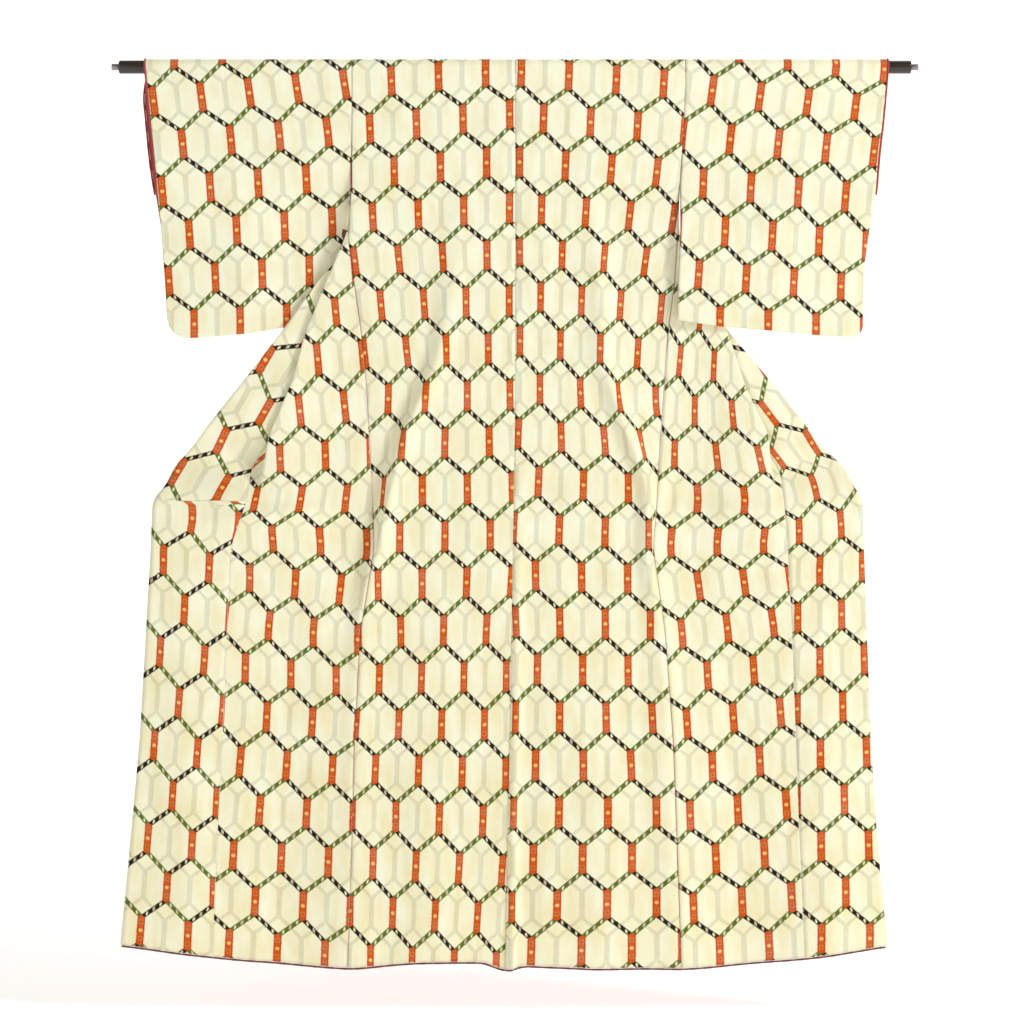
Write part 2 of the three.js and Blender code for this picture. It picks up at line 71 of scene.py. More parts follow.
# The garment's own sizes and levels, mm. WRAP is the radius of the cloth's middle round the pole.
WRAP = POLE_RADIUS + 0.5 + WALL / 2
TURN = 3.0
ARC = math.pi * TURN
BACK_DEPTH = 12.0
NECK_HALF = 80.0
HALF_BACK = 287.0
COLLAR_END = -752.0
COLLAR_NARROW = 55.0
COLLAR_WIDE = 74.0
COVER_HALF = 455.0
CUFF_OPEN = -232.0
ARMHOLE = -190.0
SWING_START = ARMHOLE + 20
SLEEVE_DEPTH = 330.0
HELD_LEVEL = -762.0
LAST_LEVEL = -1600.0

# The widths over which LAY's inner and outer values run, mm.
BACK_SPAN = 310.0
FRONT_SPAN = 200.0
SLEEVE_SPAN = 350.0
SLEEVE_START = 290.0

# The hexagon repeat: a column's width, a row's height, half an upright bar, mm.
COLUMN = 84.3
ROW = 82.4
JOINT = 23.2
JOINT_TO_TIP = 3.7
BAND_LENGTH = math.hypot(COLUMN / 2, ROW - 2 * JOINT)
DYES = ("Ground", "Red", "Navy", "Green", "Yellow", "Ash")


class Side(Enum):
    """Which half of the garment a piece belongs to, as the sign of its X."""

    LEFT = -1
    RIGHT = 1


class FrontLevel(NamedTuple):
    """One level of an opened front, walked from the side seam to the front edge, in mm and degrees.

    Attributes:
        z: the level.
        seam: the side seam's outward place.
        y: its depth.
        start: the way the walk sets out; 0 is outward and 180 inward.
        run: the stretch before the pleat's first fold.
        first: the turn at that fold.
        under: the stretch under the pleat.
        second: the turn back at the second fold.
        past: the stretch from there to the front edge.
        join: the part of that stretch before the front panel's seam.
    """

    z: float
    seam: float
    y: float
    start: float
    run: float
    first: float
    under: float
    second: float
    past: float
    join: float


class FoldLevel(NamedTuple):
    """One level of a soft fold: its place, the step outside it, its ridge and half width."""

    z: float
    x: float
    step: float
    ridge: float
    width: float


class Pull(NamedTuple):
    """A short pull across the cloth: its middle, half length, slope, height and half width."""

    x: float
    z: float
    long: float
    slope: float
    height: float
    width: float


class SleeveLevel(NamedTuple):
    """The inner and the outer edge of a sleeve bag at a level, outward from X = 0."""

    z: float
    inner: float
    outer: float


class PointXZ(NamedTuple):
    """A point of a line that is seen from the back."""

    x: float
    z: float


class LayLevel(NamedTuple):
    """How far the pattern is slid outward and dropped at the two edges of a cloth width."""

    z: float
    slide_in: float
    slide_out: float
    drop_in: float
    drop_out: float


class LeanLevel(NamedTuple):
    """How far the cloth's grain is turned from the upright at a level, in degrees."""

    z: float
    angle: float


LEFT_FRONT = [FrontLevel(*r) for r in (
    (-45, 287, 13.1, 180, 2, 0, 184, 0, 3, 3),
    (-120, 287, 11.5, 180, 2, 0, 152, 180, 10, 10),
    (-190, 287, 8.5, 180, 2, 0, 130, 180, 44, 44),
    (-250, 290, 4, 180, 2, 0, 114, 180, 73, 73),
    (-277, 292, -5, 90, 2, 90, 115, 180, 88, 78),
    (-303, 294, -12, 0, 2, 180, 119, 180, 104, 84),
    (-380, 284, -12, 0, 46, 180, 125, 180, 145, 100),
    (-470, 271, -12, 0, 95, 180, 116, 180, 164, 86),
    (-560, 263, -12, 0, 128, 180, 80, 180, 173, 66),
    (-650, 258, -12, 0, 172, 180, 38, 180, 164, 36),
    (-735, 253, -12, 0, 188, 50, 4, 50, 150, 6),
    (-762, 252, -12, 0, 192, 0, 4, 0, 171, 4),
    (-850, 247, -12, 0, 200, 0, 4, 0, 171, 30),
    (-1000, 272, -11, 0, 190, 0, 4, 0, 164, 22),
    (-1200, 283, -11, 0, 185, 0, 4, 0, 169, 24),
    (-1400, 288, -10, 0, 180, 0, 4, 0, 186, 34),
    (-1600, 295, -10, 0, 175, 0, 4, 0, 202, 40),
)]
RIGHT_FRONT = [FrontLevel(*r) for r in (
    (-45, 300, 13.1, 180, 2, 0, 196, 0, 3, 3),
    (-120, 296, 11.5, 180, 2, 0, 165, 180, 13, 13),
    (-190, 291, 8.5, 180, 2, 0, 140, 180, 42, 42),
    (-250, 289, 4, 180, 2, 0, 123, 180, 69, 69),
    (-277, 288, -5, 90, 2, 90, 120, 180, 81, 71),
    (-303, 287, -12, 0, 2, 180, 119, 180, 91, 73),
    (-380, 282, -12, 0, 43, 180, 125, 180, 115, 75),
    (-470, 270, -12, 0, 102, 180, 122, 180, 130, 58),
    (-560, 264, -12, 0, 136, 180, 85, 180, 141, 40),
    (-650, 258, -12, 0, 185, 180, 38, 180, 123, 20),
    (-735, 252, -12, 0, 193, 50, 4, 50, 128, 4),
    (-762, 250, -12, 0, 196, 0, 4, 0, 143, 4),
    (-850, 243, -12, 0, 204, 0, 4, 0, 144, 10),
    (-1000, 264, -11, 0, 190, 0, 4, 0, 142, 10),
    (-1200, 279, -11, 0, 180, 0, 4, 0, 144, 12),
    (-1400, 286, -10, 0, 172, 0, 4, 0, 157, 20),
    (-1600, 293, -10, 0, 165, 0, 4, 0, 175, 28),
)]
FOLDS = {name: [FoldLevel(*r) for r in rows] for name, rows in {
    "left_back": (
        (-180, -90, 0, 0, 30), (-350, -105, 3, 4, 26), (-493, -130, 8, 9, 20),
        (-664, -197, 14, 13, 16), (-829, -236, 14, 14, 16), (-950, -262, 8, 8, 22),
        (-1150, -275, 3, 4, 30), (-1600, -285, 0, 6, 34),
    ),
    "right_back": (
        (-180, 112, 0, 0, 30), (-334, 148, 4, 5, 24), (-500, 153, 8, 9, 20),
        (-605, 183, 12, 12, 16), (-762, 234, 14, 14, 16), (-862, 234, 12, 13, 16),
        (-1000, 256, 6, 7, 24), (-1600, 282, 0, 6, 34),
    ),
    "centre": (
        (-780, 8, 0, 0, 9), (-900, 6, 2, 4, 9), (-1200, 0, 5, 8, 9), (-1600, -6, 8, 11, 9),
    ),
    "left_quarter": (
        (-900, -150, 0, 0, 50), (-1250, -150, 0, 5, 46), (-1600, -155, 0, 9, 46),
    ),
    "right_quarter": (
        (-900, 140, 0, 0, 50), (-1250, 145, 0, 5, 46), (-1600, 150, 0, 9, 46),
    ),
    "left_front": (
        (-780, -430, 0, 0, 50), (-950, -410, 0, -5, 50), (-1250, -400, 0, -8, 56),
        (-1600, -410, 0, -11, 60),
    ),
    "right_front": (
        (-780, 420, 0, 0, 50), (-950, 400, 0, -5, 50), (-1250, 390, 0, -8, 56),
        (-1600, 400, 0, -11, 60),
    ),
    "left_okumi": (
        (-780, -590, 0, 0, 40), (-1100, -580, 0, 6, 40), (-1600, -590, 0, 9, 46),
    ),
    "right_okumi": (
        (-780, 560, 0, 0, 40), (-1100, 545, 0, 6, 40), (-1600, 550, 0, 9, 46),
    ),
}.items()}
PULLS = [
    Pull(-420, -790, 120, 0.1, 9, 17),
    Pull(385, -785, 120, -0.1, 9, 17),
    Pull(-470, -620, 60, -1.1, 2.5, 24),
    Pull(470, -640, 60, 1.1, 2.5, 24),
]
LEFT_SLEEVE = [SleeveLevel(*r) for r in (
    (-480, 296, 612), (-390, 296, 618), (-289, 294, 625), (-250, 290.6, 628), (-190, 287.4, 632),
    (-95, 287.2, 641), (20, 287.3, 652),
)]
RIGHT_SLEEVE = [SleeveLevel(*r) for r in (
    (-480, 284, 612), (-377, 287, 614), (-289, 290.5, 624), (-218, 290.7, 635), (-155, 293.6, 640),
    (-95, 297.4, 647), (20, 300.6, 657),
)]
LEFT_BOTTOM = [PointXZ(*r) for r in ((290, -446), (405, -458), (484, -470), (577, -477), (660, -479))]
RIGHT_BOTTOM = [PointXZ(*r) for r in ((285, -447), (362, -458), (443, -465), (531, -473), (620, -477))]
HEM = [PointXZ(*r) for r in (
    (-700, -1546), (-640, -1553), (-465, -1574), (-290, -1586), (-150, -1576), (-62, -1577), (-17, -1589),
    (26, -1584), (150, -1587), (290, -1587), (465, -1574), (660, -1548),
)]
CENTRE_LINE = [PointXZ(*r) for r in ((-17, -1600), (-6, -1000), (0, -500), (0, 40))]


class Ease:
    """A smooth line through table values that never overshoots them."""

    def __init__(self, at: Sequence[float], values: Sequence[float]) -> None:
        """Fits a slope at each value.

        Args:
            at: the places, in any order.
            values: the value at each place.
        """
        order = np.argsort(at)
        self.x = np.asarray(at, float)[order]
        self.y = np.asarray(values, float)[order]
        h = np.diff(self.x)
        d = np.diff(self.y) / h
        slope = np.zeros_like(self.y)
        for i in range(1, len(d)):
            if d[i - 1] * d[i] > 0:
                w1, w2 = 2 * h[i] + h[i - 1], h[i] + 2 * h[i - 1]
                slope[i] = (w1 + w2) / (w1 / d[i - 1] + w2 / d[i])
        slope[0], slope[-1] = d[0], d[-1]
        self.slope = slope

    def __call__(self, where: np.ndarray | float) -> np.ndarray:
        """Reads the line.

        Args:
            where: the places asked for; outside the table the end values hold.

        Returns:
            The values there.
        """
        w = np.clip(np.asarray(where, float), self.x[0], self.x[-1])
        i = np.clip(np.searchsorted(self.x, w) - 1, 0, len(self.x) - 2)
        h = self.x[i + 1] - self.x[i]
        t = (w - self.x[i]) / h
        return ((1 + 2 * t) * (1 - t) ** 2 * self.y[i] + t * (1 - t) ** 2 * h * self.slope[i]
                + t * t * (3 - 2 * t) * self.y[i + 1] + t * t * (t - 1) * h * self.slope[i + 1])


class Taut(Ease):
    """A line of straight stretches through table values, as taut cloth runs, its corners slightly eased."""

    REACH = np.linspace(-14, 14, 7)

    def __call__(self, where: np.ndarray | float) -> np.ndarray:
        """Reads the line.

        Args:
            where: the places asked for.

        Returns:
            The values there, averaged over a short reach.
        """
        w = np.asarray(where, float)
        return sum(np.interp(w + r, self.x, self.y) for r in self.REACH) / len(self.REACH)


class EasedTable:
    """A table of named columns, each eased along the levels in its column z."""

    def __init__(self, rows: Sequence[NamedTuple], kind: type[Ease] = Ease) -> None:
        """Eases the columns.

        Args:
            rows: the table's rows.
            kind: how the lines run between the rows.
        """
        at = [r.z for r in rows]
        self.columns = {n: kind(at, [getattr(r, n) for r in rows]) for n in rows[0]._fields if n != "z"}

    def __getattr__(self, name: str) -> Ease:
        """Returns the column of that name."""
        return self.columns[name]


def smooth(t: np.ndarray | float) -> np.ndarray:
    """Returns the smooth step from 0 to 1 of t."""
    s = np.clip(t, 0.0, 1.0)
    return s * s * (3 - 2 * s)


def way_along(points: np.ndarray) -> np.ndarray:
    """Returns the way walked along a line of points up to each of them."""
    return np.concatenate([[0], np.cumsum(np.linalg.norm(np.diff(points, axis=0), axis=1))])


def read_along(fine: np.ndarray, points: np.ndarray) -> np.ndarray:
    """Returns the points of a line at some ways along it."""
    steps = way_along(points)
    return np.stack([np.interp(fine, steps, points[:, k]) for k in range(points.shape[1])], axis=1)


def softened(values: np.ndarray, reach: int) -> np.ndarray:
    """Returns rows of values averaged with their neighbours up to a reach, the ends repeated."""
    kernel = np.hanning(2 * reach + 1) / np.hanning(2 * reach + 1).sum()
    padded = np.concatenate([np.repeat(values[:1], reach, 0), values, np.repeat(values[-1:], reach, 0)])
    return np.stack([np.convolve(padded[:, k], kernel, "valid") for k in range(values.shape[1])], axis=1)


FRONTS = {Side.LEFT: EasedTable(LEFT_FRONT, kind=Taut), Side.RIGHT: EasedTable(RIGHT_FRONT, kind=Taut)}
FOLD_LINES = {name: EasedTable(rows) for name, rows in FOLDS.items()}
HEM_LINE = Ease([p.x for p in HEM], [p.z for p in HEM])
CENTRE = Ease([p.z for p in CENTRE_LINE], [p.x for p in CENTRE_LINE])


def drape(x: np.ndarray, z: np.ndarray) -> np.ndarray:
    """How far the folds move the hanging cloth along Y.

    Args:
        x: places across, mm.
        z: levels, mm.

    Returns:
        The depth at each place, mm, towards -Y where it is negative.
    """
    x, z = np.broadcast_arrays(np.asarray(x, float), np.asarray(z, float))
    y = np.zeros(x.shape)
    for name, line in FOLD_LINES.items():
        top = FOLDS[name][0].z
        side = 1.0 if name == "centre" else math.copysign(1.0, FOLDS[name][0].x)
        width, place = line.width(z), line.x(z)
        away = side * (x - place) / width
        fade = smooth((60 - abs(x - place)) / 50) if name == "centre" else smooth((420 - abs(x)) / 120)
        part = line.step(z) * smooth(away / 1.6 + 0.1) * fade - line.ridge(z) * np.exp(-away * away)
        y += np.where(z > top, 0.0, part)
    for p in PULLS:
        along = (x - p.x) / p.long
        off = (z - p.z - p.slope * (x - p.x)) / p.width
        y -= p.height * np.exp(-along * along - off * off)
    return y


def crumple(x: np.ndarray, z: np.ndarray) -> np.ndarray:
    """The small unevenness of worn cloth, which only the shown surface has.

    Args:
        x: places across, mm.
        z: levels, mm.

    Returns:
        A depth of about a millimetre at each place, mm.
    """
    x, z = np.asarray(x, float), np.asarray(z, float)
    waves = (
        (0.45, 0.061, 0.013, 0.4), (0.35, 0.038, -0.021, 1.9), (0.3, 0.083, 0.006, 2.6),
        (0.28, 0.022, 0.034, 0.9), (0.2, 0.012, -0.052, 3.3), (0.14, 0.117, 0.018, 5.1),
    )
    total = 0
    for height, across, up, start in waves:
        bend = 1.3 * np.sin(0.011 * x - 0.017 * z + start)
        total = total + height * np.sin(across * x + up * z + start + bend)
    return smooth((-z - 15) / 90) * total


def back_depth(z: np.ndarray | float) -> np.ndarray:
    """Returns the depth of the back panel at a level before the folds, mm."""
    return -WRAP + (WRAP - BACK_DEPTH) * smooth(-z / 200) + 2 * smooth((-z - 700) / 900)


def lowered(x: np.ndarray, z: np.ndarray) -> np.ndarray:
    """Stretches the levels below the held place so that the last one is the hem line.

    Args:
        x: places across, mm.
        z: nominal levels, mm.

    Returns:
        The real levels, mm.
    """
    t = np.clip((HELD_LEVEL - z) / (HELD_LEVEL - LAST_LEVEL), 0, 1)
    return np.where(z > HELD_LEVEL, z, HELD_LEVEL + t * (HEM_LINE(x) - HELD_LEVEL))


class FrontPath:
    """The walked lines of one front: from the side seam through the pleat to the front edge."""

    RUN, FIRST, UNDER, SECOND, JOIN, GAP, REST = 26, 9, 14, 9, 14, 1, 16

    def __init__(self, side: Side) -> None:
        """Numbers the points of a level.

        Args:
            side: which front.
        """
        self.side = side
        self.rows = FRONTS[side]
        self.body_end = self.RUN + self.FIRST + self.UNDER + self.SECOND + self.JOIN
        self.okumi_start = self.body_end + self.GAP

    def level(self, z: float) -> np.ndarray:
        """Walks one level.

        Args:
            z: the level, mm.

        Returns:
            An array with a row a point: outward place, depth, and the way walked so far, mm.
        """
        r = {n: float(c(z)) for n, c in self.rows.columns.items()}
        out, y, turned, walked = r["seam"] + SEAM, r["y"], r["start"], 0.0
        points = [(out, y, 0.0)]
        rest = max(0.5, r["past"] - r["join"] - SEAM)
        for length, turn, parts in (
            (r["run"], 0, self.RUN), (ARC, r["first"], self.FIRST), (r["under"], 0, self.UNDER),
            (ARC, -r["second"], self.SECOND), (max(1, r["join"] - SEAM), 0, self.JOIN),
            (2 * SEAM, 0, self.GAP), (rest, 0, self.REST),
        ):
            for i in range(parts):
                way = math.radians(turned + turn * (i + 0.5) / parts)
                out += math.cos(way) * length / parts
                y += math.sin(way) * length / parts
                walked += length / parts
                points.append((out, y, walked))
            turned += turn
        return np.array(points)


def hung(side: Side, points: np.ndarray, z: float) -> np.ndarray:
    """Puts a walked level in its place in the hanging cloth.

    Args:
        side: which front.
        points: the level from FrontPath.
        z: its nominal level, mm.

    Returns:
        Points in mm.
    """
    x = side.value * points[:, 0]
    level = lowered(x, np.full(len(x), z))
    return np.stack([x, points[:, 1] + drape(x, level) + crumple(x, level), level], axis=1)


class Grid:
    """A mid surface as a grid of points with cloth coordinates, some of its cells left out."""

    def __init__(self, points: np.ndarray, cloth: np.ndarray, kept: np.ndarray | None = None,
                 closed: bool = False) -> None:
        """Keeps the points and their cells.

        Args:
            points: rows by columns by 3, mm.
            cloth: rows by columns by 2, mm along and across the woven width.
            kept: which cells exist, rows - 1 by columns - 1.
            closed: the columns run round and meet.
        """
        self.points, self.cloth, self.closed = points, cloth, closed
        rows, columns = points.shape[:2]
        self.kept = np.ones((rows - 1, columns - (0 if closed else 1)), bool) if kept is None else kept

    def cells(self) -> list[tuple[int, int, int, int]]:
        """Returns the corner numbers of each kept cell."""
        columns = self.points.shape[1]
        found = []
        for i, j in zip(*np.nonzero(self.kept)):
            k = (j + 1) % columns
            found.append((i * columns + j, i * columns + k, (i + 1) * columns + k, (i + 1) * columns + j))
        return found

    def normals(self) -> np.ndarray:
        """Returns the direction square to the surface at each point."""
        flat = self.points.reshape(-1, 3)
        cells = np.array(self.cells())
        a, b, c, d = (flat[cells[:, k]] for k in range(4))
        square = np.cross(c - a, d - b)
        square /= np.maximum(np.linalg.norm(square, axis=1), 1e-9)[:, None]
        total = np.zeros_like(flat)
        for k in range(4):
            np.add.at(total, cells[:, k], square)
        return total / np.maximum(np.linalg.norm(total, axis=1), 1e-9)[:, None]

    def moved(self, distance: float) -> Grid:
        """Returns the same grid moved out along its normals by a distance in mm."""
        shifted = self.points + distance * self.normals().reshape(self.points.shape)
        return Grid(shifted, self.cloth, self.kept, self.closed)

    def lifted(self, distance: float) -> Grid:
        """Returns the same grid moved by a distance in mm to the side that faces +Y."""
        one, other = self.moved(distance), self.moved(-distance)
        return one if one.points[..., 1].mean() > self.points[..., 1].mean() else other

    def shell(self, name: str, wall: float, outer: bpy.types.Material, inner: bpy.types.Material,
              flip: bool = False) -> bpy.types.Object:
        """Makes the closed shell on this mid surface.

        Args:
            name: the new object's name.
            wall: its thickness, mm.
            outer: the material of the side that its normals point to.
            inner: the material of the other side.
            flip: swap the two sides, for a grid that was laid out mirrored.

        Returns:
            The object, with its cloth coordinates in metres as the UV map "cloth".
        """
        flat, n = self.points.reshape(-1, 3), self.normals()
        cells = self.cells()
        count = len(flat)
        points = np.concatenate([flat + n * wall / 2, flat - n * wall / 2]) * MM
        edges: dict[tuple[int, int], None] = {}
        for cell in cells:
            for edge in zip(cell, cell[1:] + cell[:1]):
                if edge[::-1] in edges:
                    del edges[edge[::-1]]
                else:
                    edges[edge] = None
        faces = [tuple(c) for c in cells] + [tuple(count + i for i in reversed(c)) for c in cells]
        faces += [(e, s, count + s, count + e) for s, e in edges]
        mesh = bpy.data.meshes.new(name)
        mesh.from_pydata(points.tolist(), [], faces)
        mesh.materials.append(outer)
        mesh.materials.append(inner)
        first, second = (1, 0) if flip else (0, 1)
        finishes = [first] * len(cells) + [second] * len(cells) + [1] * len(edges)
        mesh.polygons.foreach_set("material_index", finishes)
        mesh.polygons.foreach_set("use_smooth", [True] * (2 * len(cells)) + [False] * len(edges))
        lay_uv(mesh, self.cloth.reshape(-1, 2))
        return finished(mesh, name)


def linked(name: str, data: bpy.types.ID) -> bpy.types.Object:
    """Returns a new object at the origin with that data, linked to the scene."""
    made = bpy.data.objects.new(name, data)
    bpy.context.scene.collection.objects.link(made)
    return made


def lay_uv(mesh: bpy.types.Mesh, cloth: np.ndarray) -> None:
    """Gives a mesh its cloth coordinates as the UV map "cloth".

    Args:
        mesh: the mesh; where it has two sides, the second repeats the first's points.
        cloth: two coordinates a point of the first side, mm.
    """
    loops = np.zeros(len(mesh.loops), np.int32)
    mesh.loops.foreach_get("vertex_index", loops)
    places = (cloth * MM)[loops % len(cloth)]
    mesh.uv_layers.new(name="cloth").data.foreach_set("uv", places.astype(np.float32).ravel())


def finished(mesh: bpy.types.Mesh, name: str) -> bpy.types.Object:
    """Links a mesh with loose points removed and its faces turned out.

    Args:
        mesh: the mesh, in metres in the frame.
        name: the object's name.

    Returns:
        The object at the origin.
    """
    bm = bmesh.new()
    bm.from_mesh(mesh)
    bmesh.ops.delete(bm, geom=[v for v in bm.verts if not v.link_faces], context="VERTS")
    bmesh.ops.recalc_face_normals(bm, faces=bm.faces)
    if bm.calc_volume(signed=True) < 0:
        bmesh.ops.reverse_faces(bm, faces=bm.faces)
    bm.to_mesh(mesh)
    bm.free()
    mesh.name = name
    return linked(name, mesh)


class NodeWriter:
    """Writes arithmetic and textures as nodes of one tree."""

    def __init__(self, tree: bpy.types.NodeTree) -> None:
        """Keeps the tree.

        Args:
            tree: the tree to add to.
        """
        self.tree = tree

    def node(self, kind: str, **settings: object) -> bpy.types.Node:
        """Returns a new node of a kind, with its properties set."""
        made = self.tree.nodes.new(kind)
        for key, value in settings.items():
            setattr(made, key, value)
        return made

    def feed(self, socket: bpy.types.NodeSocket, value: object) -> None:
        """Links a socket to a value if that is a socket, and otherwise sets it."""
        if isinstance(value, bpy.types.NodeSocket):
            self.tree.links.new(value, socket)
        else:
            socket.default_value = value

    def maths(self, operation: str, *values: object, clamp: bool = False) -> bpy.types.NodeSocket:
        """Returns the result of a Math node on up to three values."""
        made = self.node("ShaderNodeMath", operation=operation, use_clamp=clamp)
        for socket, value in zip(made.inputs, values):
            self.feed(socket, value)
        return made.outputs[0]

    def times(self, a: object, b: object) -> bpy.types.NodeSocket:
        """Returns the product of two values."""
        return self.maths("MULTIPLY", a, b)

    def size(self, value: object) -> bpy.types.NodeSocket:
        """Returns a value without its sign."""
        return self.maths("ABSOLUTE", value)

    def length(self, a: object, b: object) -> bpy.types.NodeSocket:
        """Returns the length of the diagonal over two sides."""
        squares = [self.maths("POWER", side, 2.0) for side in (a, b)]
        return self.maths("SQRT", self.maths("ADD", *squares))

    def inside(self, half: object, distance: object, soft: float) -> bpy.types.NodeSocket:
        """Returns 1 where a distance is under half, fading over soft."""
        gap = self.maths("SUBTRACT", half, distance)
        return self.maths("MULTIPLY_ADD", gap, 1 / soft, 0.5, clamp=True)

    def mix(self, factor: object, a: object, b: object) -> bpy.types.NodeSocket:
        """Returns a colour mixed from a to b."""
        made = self.node("ShaderNodeMix", data_type="RGBA")
        self.feed(made.inputs[0], factor)
        self.feed(made.inputs[6], a)
        self.feed(made.inputs[7], b)
        return made.outputs[2]

    def split(self, place: object) -> tuple[bpy.types.NodeSocket, bpy.types.NodeSocket]:
        """Returns the first two values of a vector."""
        made = self.node("ShaderNodeSeparateXYZ")
        self.feed(made.inputs[0], place)
        return made.outputs[0], made.outputs[1]

    def scaled(self, place: object, scale: tuple[float, float, float]) -> bpy.types.NodeSocket:
        """Returns a place stretched along its axes."""
        made = self.node("ShaderNodeMapping")
        self.feed(made.inputs["Vector"], place)
        made.inputs["Scale"].default_value = scale
        return made.outputs[0]

    def group(self, tree: bpy.types.NodeTree, values: dict[str, object]) -> bpy.types.Node:
        """Returns a node of a shader group with its inputs fed by name."""
        made = self.node("ShaderNodeGroup", node_tree=tree)
        for label, value in values.items():
            self.feed(made.inputs[label], value)
        return made

    def bump(self, shader: bpy.types.Node, height: object, strength: float, distance: float) -> None:
        """Feeds a shader's normal from a height, in m."""
        made = self.node("ShaderNodeBump")
        made.inputs["Strength"].default_value = strength
        made.inputs["Distance"].default_value = distance
        self.feed(made.inputs["Height"], height)
        self.feed(shader.inputs["Normal"], made.outputs[0])

    def vector(self, x: object, y: object, z: object = 0.0) -> bpy.types.NodeSocket:
        """Returns a vector of three values."""
        made = self.node("ShaderNodeCombineXYZ")
        for socket, value in zip(made.inputs, (x, y, z)):
            self.feed(socket, value)
        return made.outputs[0]

    def noise(self, place: object, scale: float, detail: float = 2.0,
              rough: float = 0.5) -> bpy.types.NodeSocket:
        """Returns a noise value at a place."""
        made = self.node("ShaderNodeTexNoise")
        self.feed(made.inputs["Vector"], place)
        made.inputs["Scale"].default_value = scale
        made.inputs["Detail"].default_value = detail
        made.inputs["Roughness"].default_value = rough
        return made.outputs[0]


def new_finish(name: str) -> tuple[bpy.types.Material, NodeWriter, bpy.types.Node]:
    """Returns a new material with a writer for its nodes and its Principled BSDF."""
    made = bpy.data.materials.new(name)
    made.use_nodes = True
    return made, NodeWriter(made.node_tree), made.node_tree.nodes["Principled BSDF"]


def shader_group(
    name: str, inputs: Sequence[tuple[str, str, object]], outputs: Sequence[tuple[str, str]],
) -> tuple[bpy.types.NodeTree, NodeWriter, bpy.types.Node, bpy.types.Node]:
    """Starts a shader node group.

    Args:
        name: the group's name.
        inputs: name, socket type and default of each input.
        outputs: name and socket type of each output.

    Returns:
        The tree, a writer for it, and its input and output nodes.
    """
    tree = bpy.data.node_groups.new(name, "ShaderNodeTree")
    for label, kind, value in inputs:
        socket = tree.interface.new_socket(name=label, in_out="INPUT", socket_type=kind)
        if value is not None:
            socket.default_value = value
    for label, kind in outputs:
        tree.interface.new_socket(name=label, in_out="OUTPUT", socket_type=kind)
    return tree, NodeWriter(tree), tree.nodes.new("NodeGroupInput"), tree.nodes.new("NodeGroupOutput")


def lattice_group() -> bpy.types.NodeTree:
    """Builds the hexagon lattice: upright bars joined by slanting bands, in mm of cloth.

    Returns:
        A group that gives masks and local places.
    """
    number = "NodeSocketFloat"
    tree, w, i, o = shader_group(
        "hexagon lattice",
        [(label, number, value) for label, value in (
            ("U", 0.0), ("V", 0.0), ("Bar half width", 7.8), ("Joint", JOINT), ("Band half width", 4.6))],
        [(label, number) for label in ("Bar", "Band", "Along", "Off", "Lean", "X", "Y")],
    )
    u, v, half, joint, thick = (i.outputs[k] for k in range(5))
    edge, taper = 1.2, 2.2

    def folded(at_u: object, at_v: object) -> tuple[bpy.types.NodeSocket, bpy.types.NodeSocket]:
        """Returns the place within one repeat, from its middle."""
        return w.maths("WRAP", at_u, COLUMN / 2, -COLUMN / 2), w.maths("WRAP", at_v, ROW, -ROW)

    x0, y0 = folded(u, v)
    x1, y1 = folded(w.maths("SUBTRACT", u, COLUMN / 2), w.maths("SUBTRACT", v, ROW))
    height = w.size(y0)
    along = w.maths("DIVIDE", w.size(x0), COLUMN / 2)
    rise = w.maths("SUBTRACT", ROW, w.times(joint, 2.0))
    line = w.maths("MULTIPLY_ADD", along, rise, joint)
    off = w.times(w.maths("SUBTRACT", height, line), (COLUMN / 2) / BAND_LENGTH)
    bars = []
    for x, y in ((x0, y0), (x1, y1)):
        aside = w.size(x)
        slope = w.times(w.maths("DIVIDE", aside, half), -taper)
        end = w.maths("ADD", slope, w.maths("ADD", joint, JOINT_TO_TIP))
        bars.append(w.times(w.inside(half, aside, edge), w.inside(end, w.size(y), edge)))
    near = w.maths("LESS_THAN", height, ROW / 2)
    far = w.maths("SUBTRACT", 1.0, near)
    for label, value in (
        ("Bar", w.maths("MAXIMUM", *bars)),
        ("Band", w.inside(thick, w.size(off), edge)),
        ("Along", along),
        ("Off", off),
        ("Lean", w.maths("GREATER_THAN", w.times(x0, y0), 0.0)),
        ("X", w.maths("MULTIPLY_ADD", x0, near, w.times(x1, far))),
        ("Y", w.maths("MULTIPLY_ADD", y0, near, w.times(y1, far))),
    ):
        w.feed(o.inputs[label], value)
    return tree


def weave_group() -> bpy.types.NodeTree:
    """Builds a plain weave with uneven threads.

    Returns:
        A group that gives the height of the threads and their unevenness.
    """
    tree, w, i, o = shader_group("plain weave", (
        ("Place", "NodeSocketVector", None),
        ("Thread mm", "NodeSocketFloat", 0.55),
        ("Slub", "NodeSocketFloat", 0.5),
    ), (("Height", "NodeSocketFloat"), ("Slubs", "NodeSocketFloat")))
    x, y = w.split(i.outputs["Place"])
    turns = w.maths("DIVIDE", 2 * math.pi * 1000, i.outputs["Thread mm"])
    across, up = (w.maths("SINE", w.times(k, turns)) for k in (x, y))
    weft = w.noise(w.vector(w.times(x, 14.0), w.times(y, 900.0)), 1.0, 3.0)
    warp = w.noise(w.vector(w.times(x, 700.0), w.times(y, 10.0), 3.0), 1.0, 2.0)
    slubs = w.times(w.maths("ADD", weft, w.times(warp, 0.5)), 0.667)
    uneven = w.times(slubs, i.outputs["Slub"])
    w.feed(o.inputs["Height"], w.maths("MULTIPLY_ADD", w.times(across, up), 0.3, uneven))
    w.feed(o.inputs["Slubs"], slubs)
    return tree


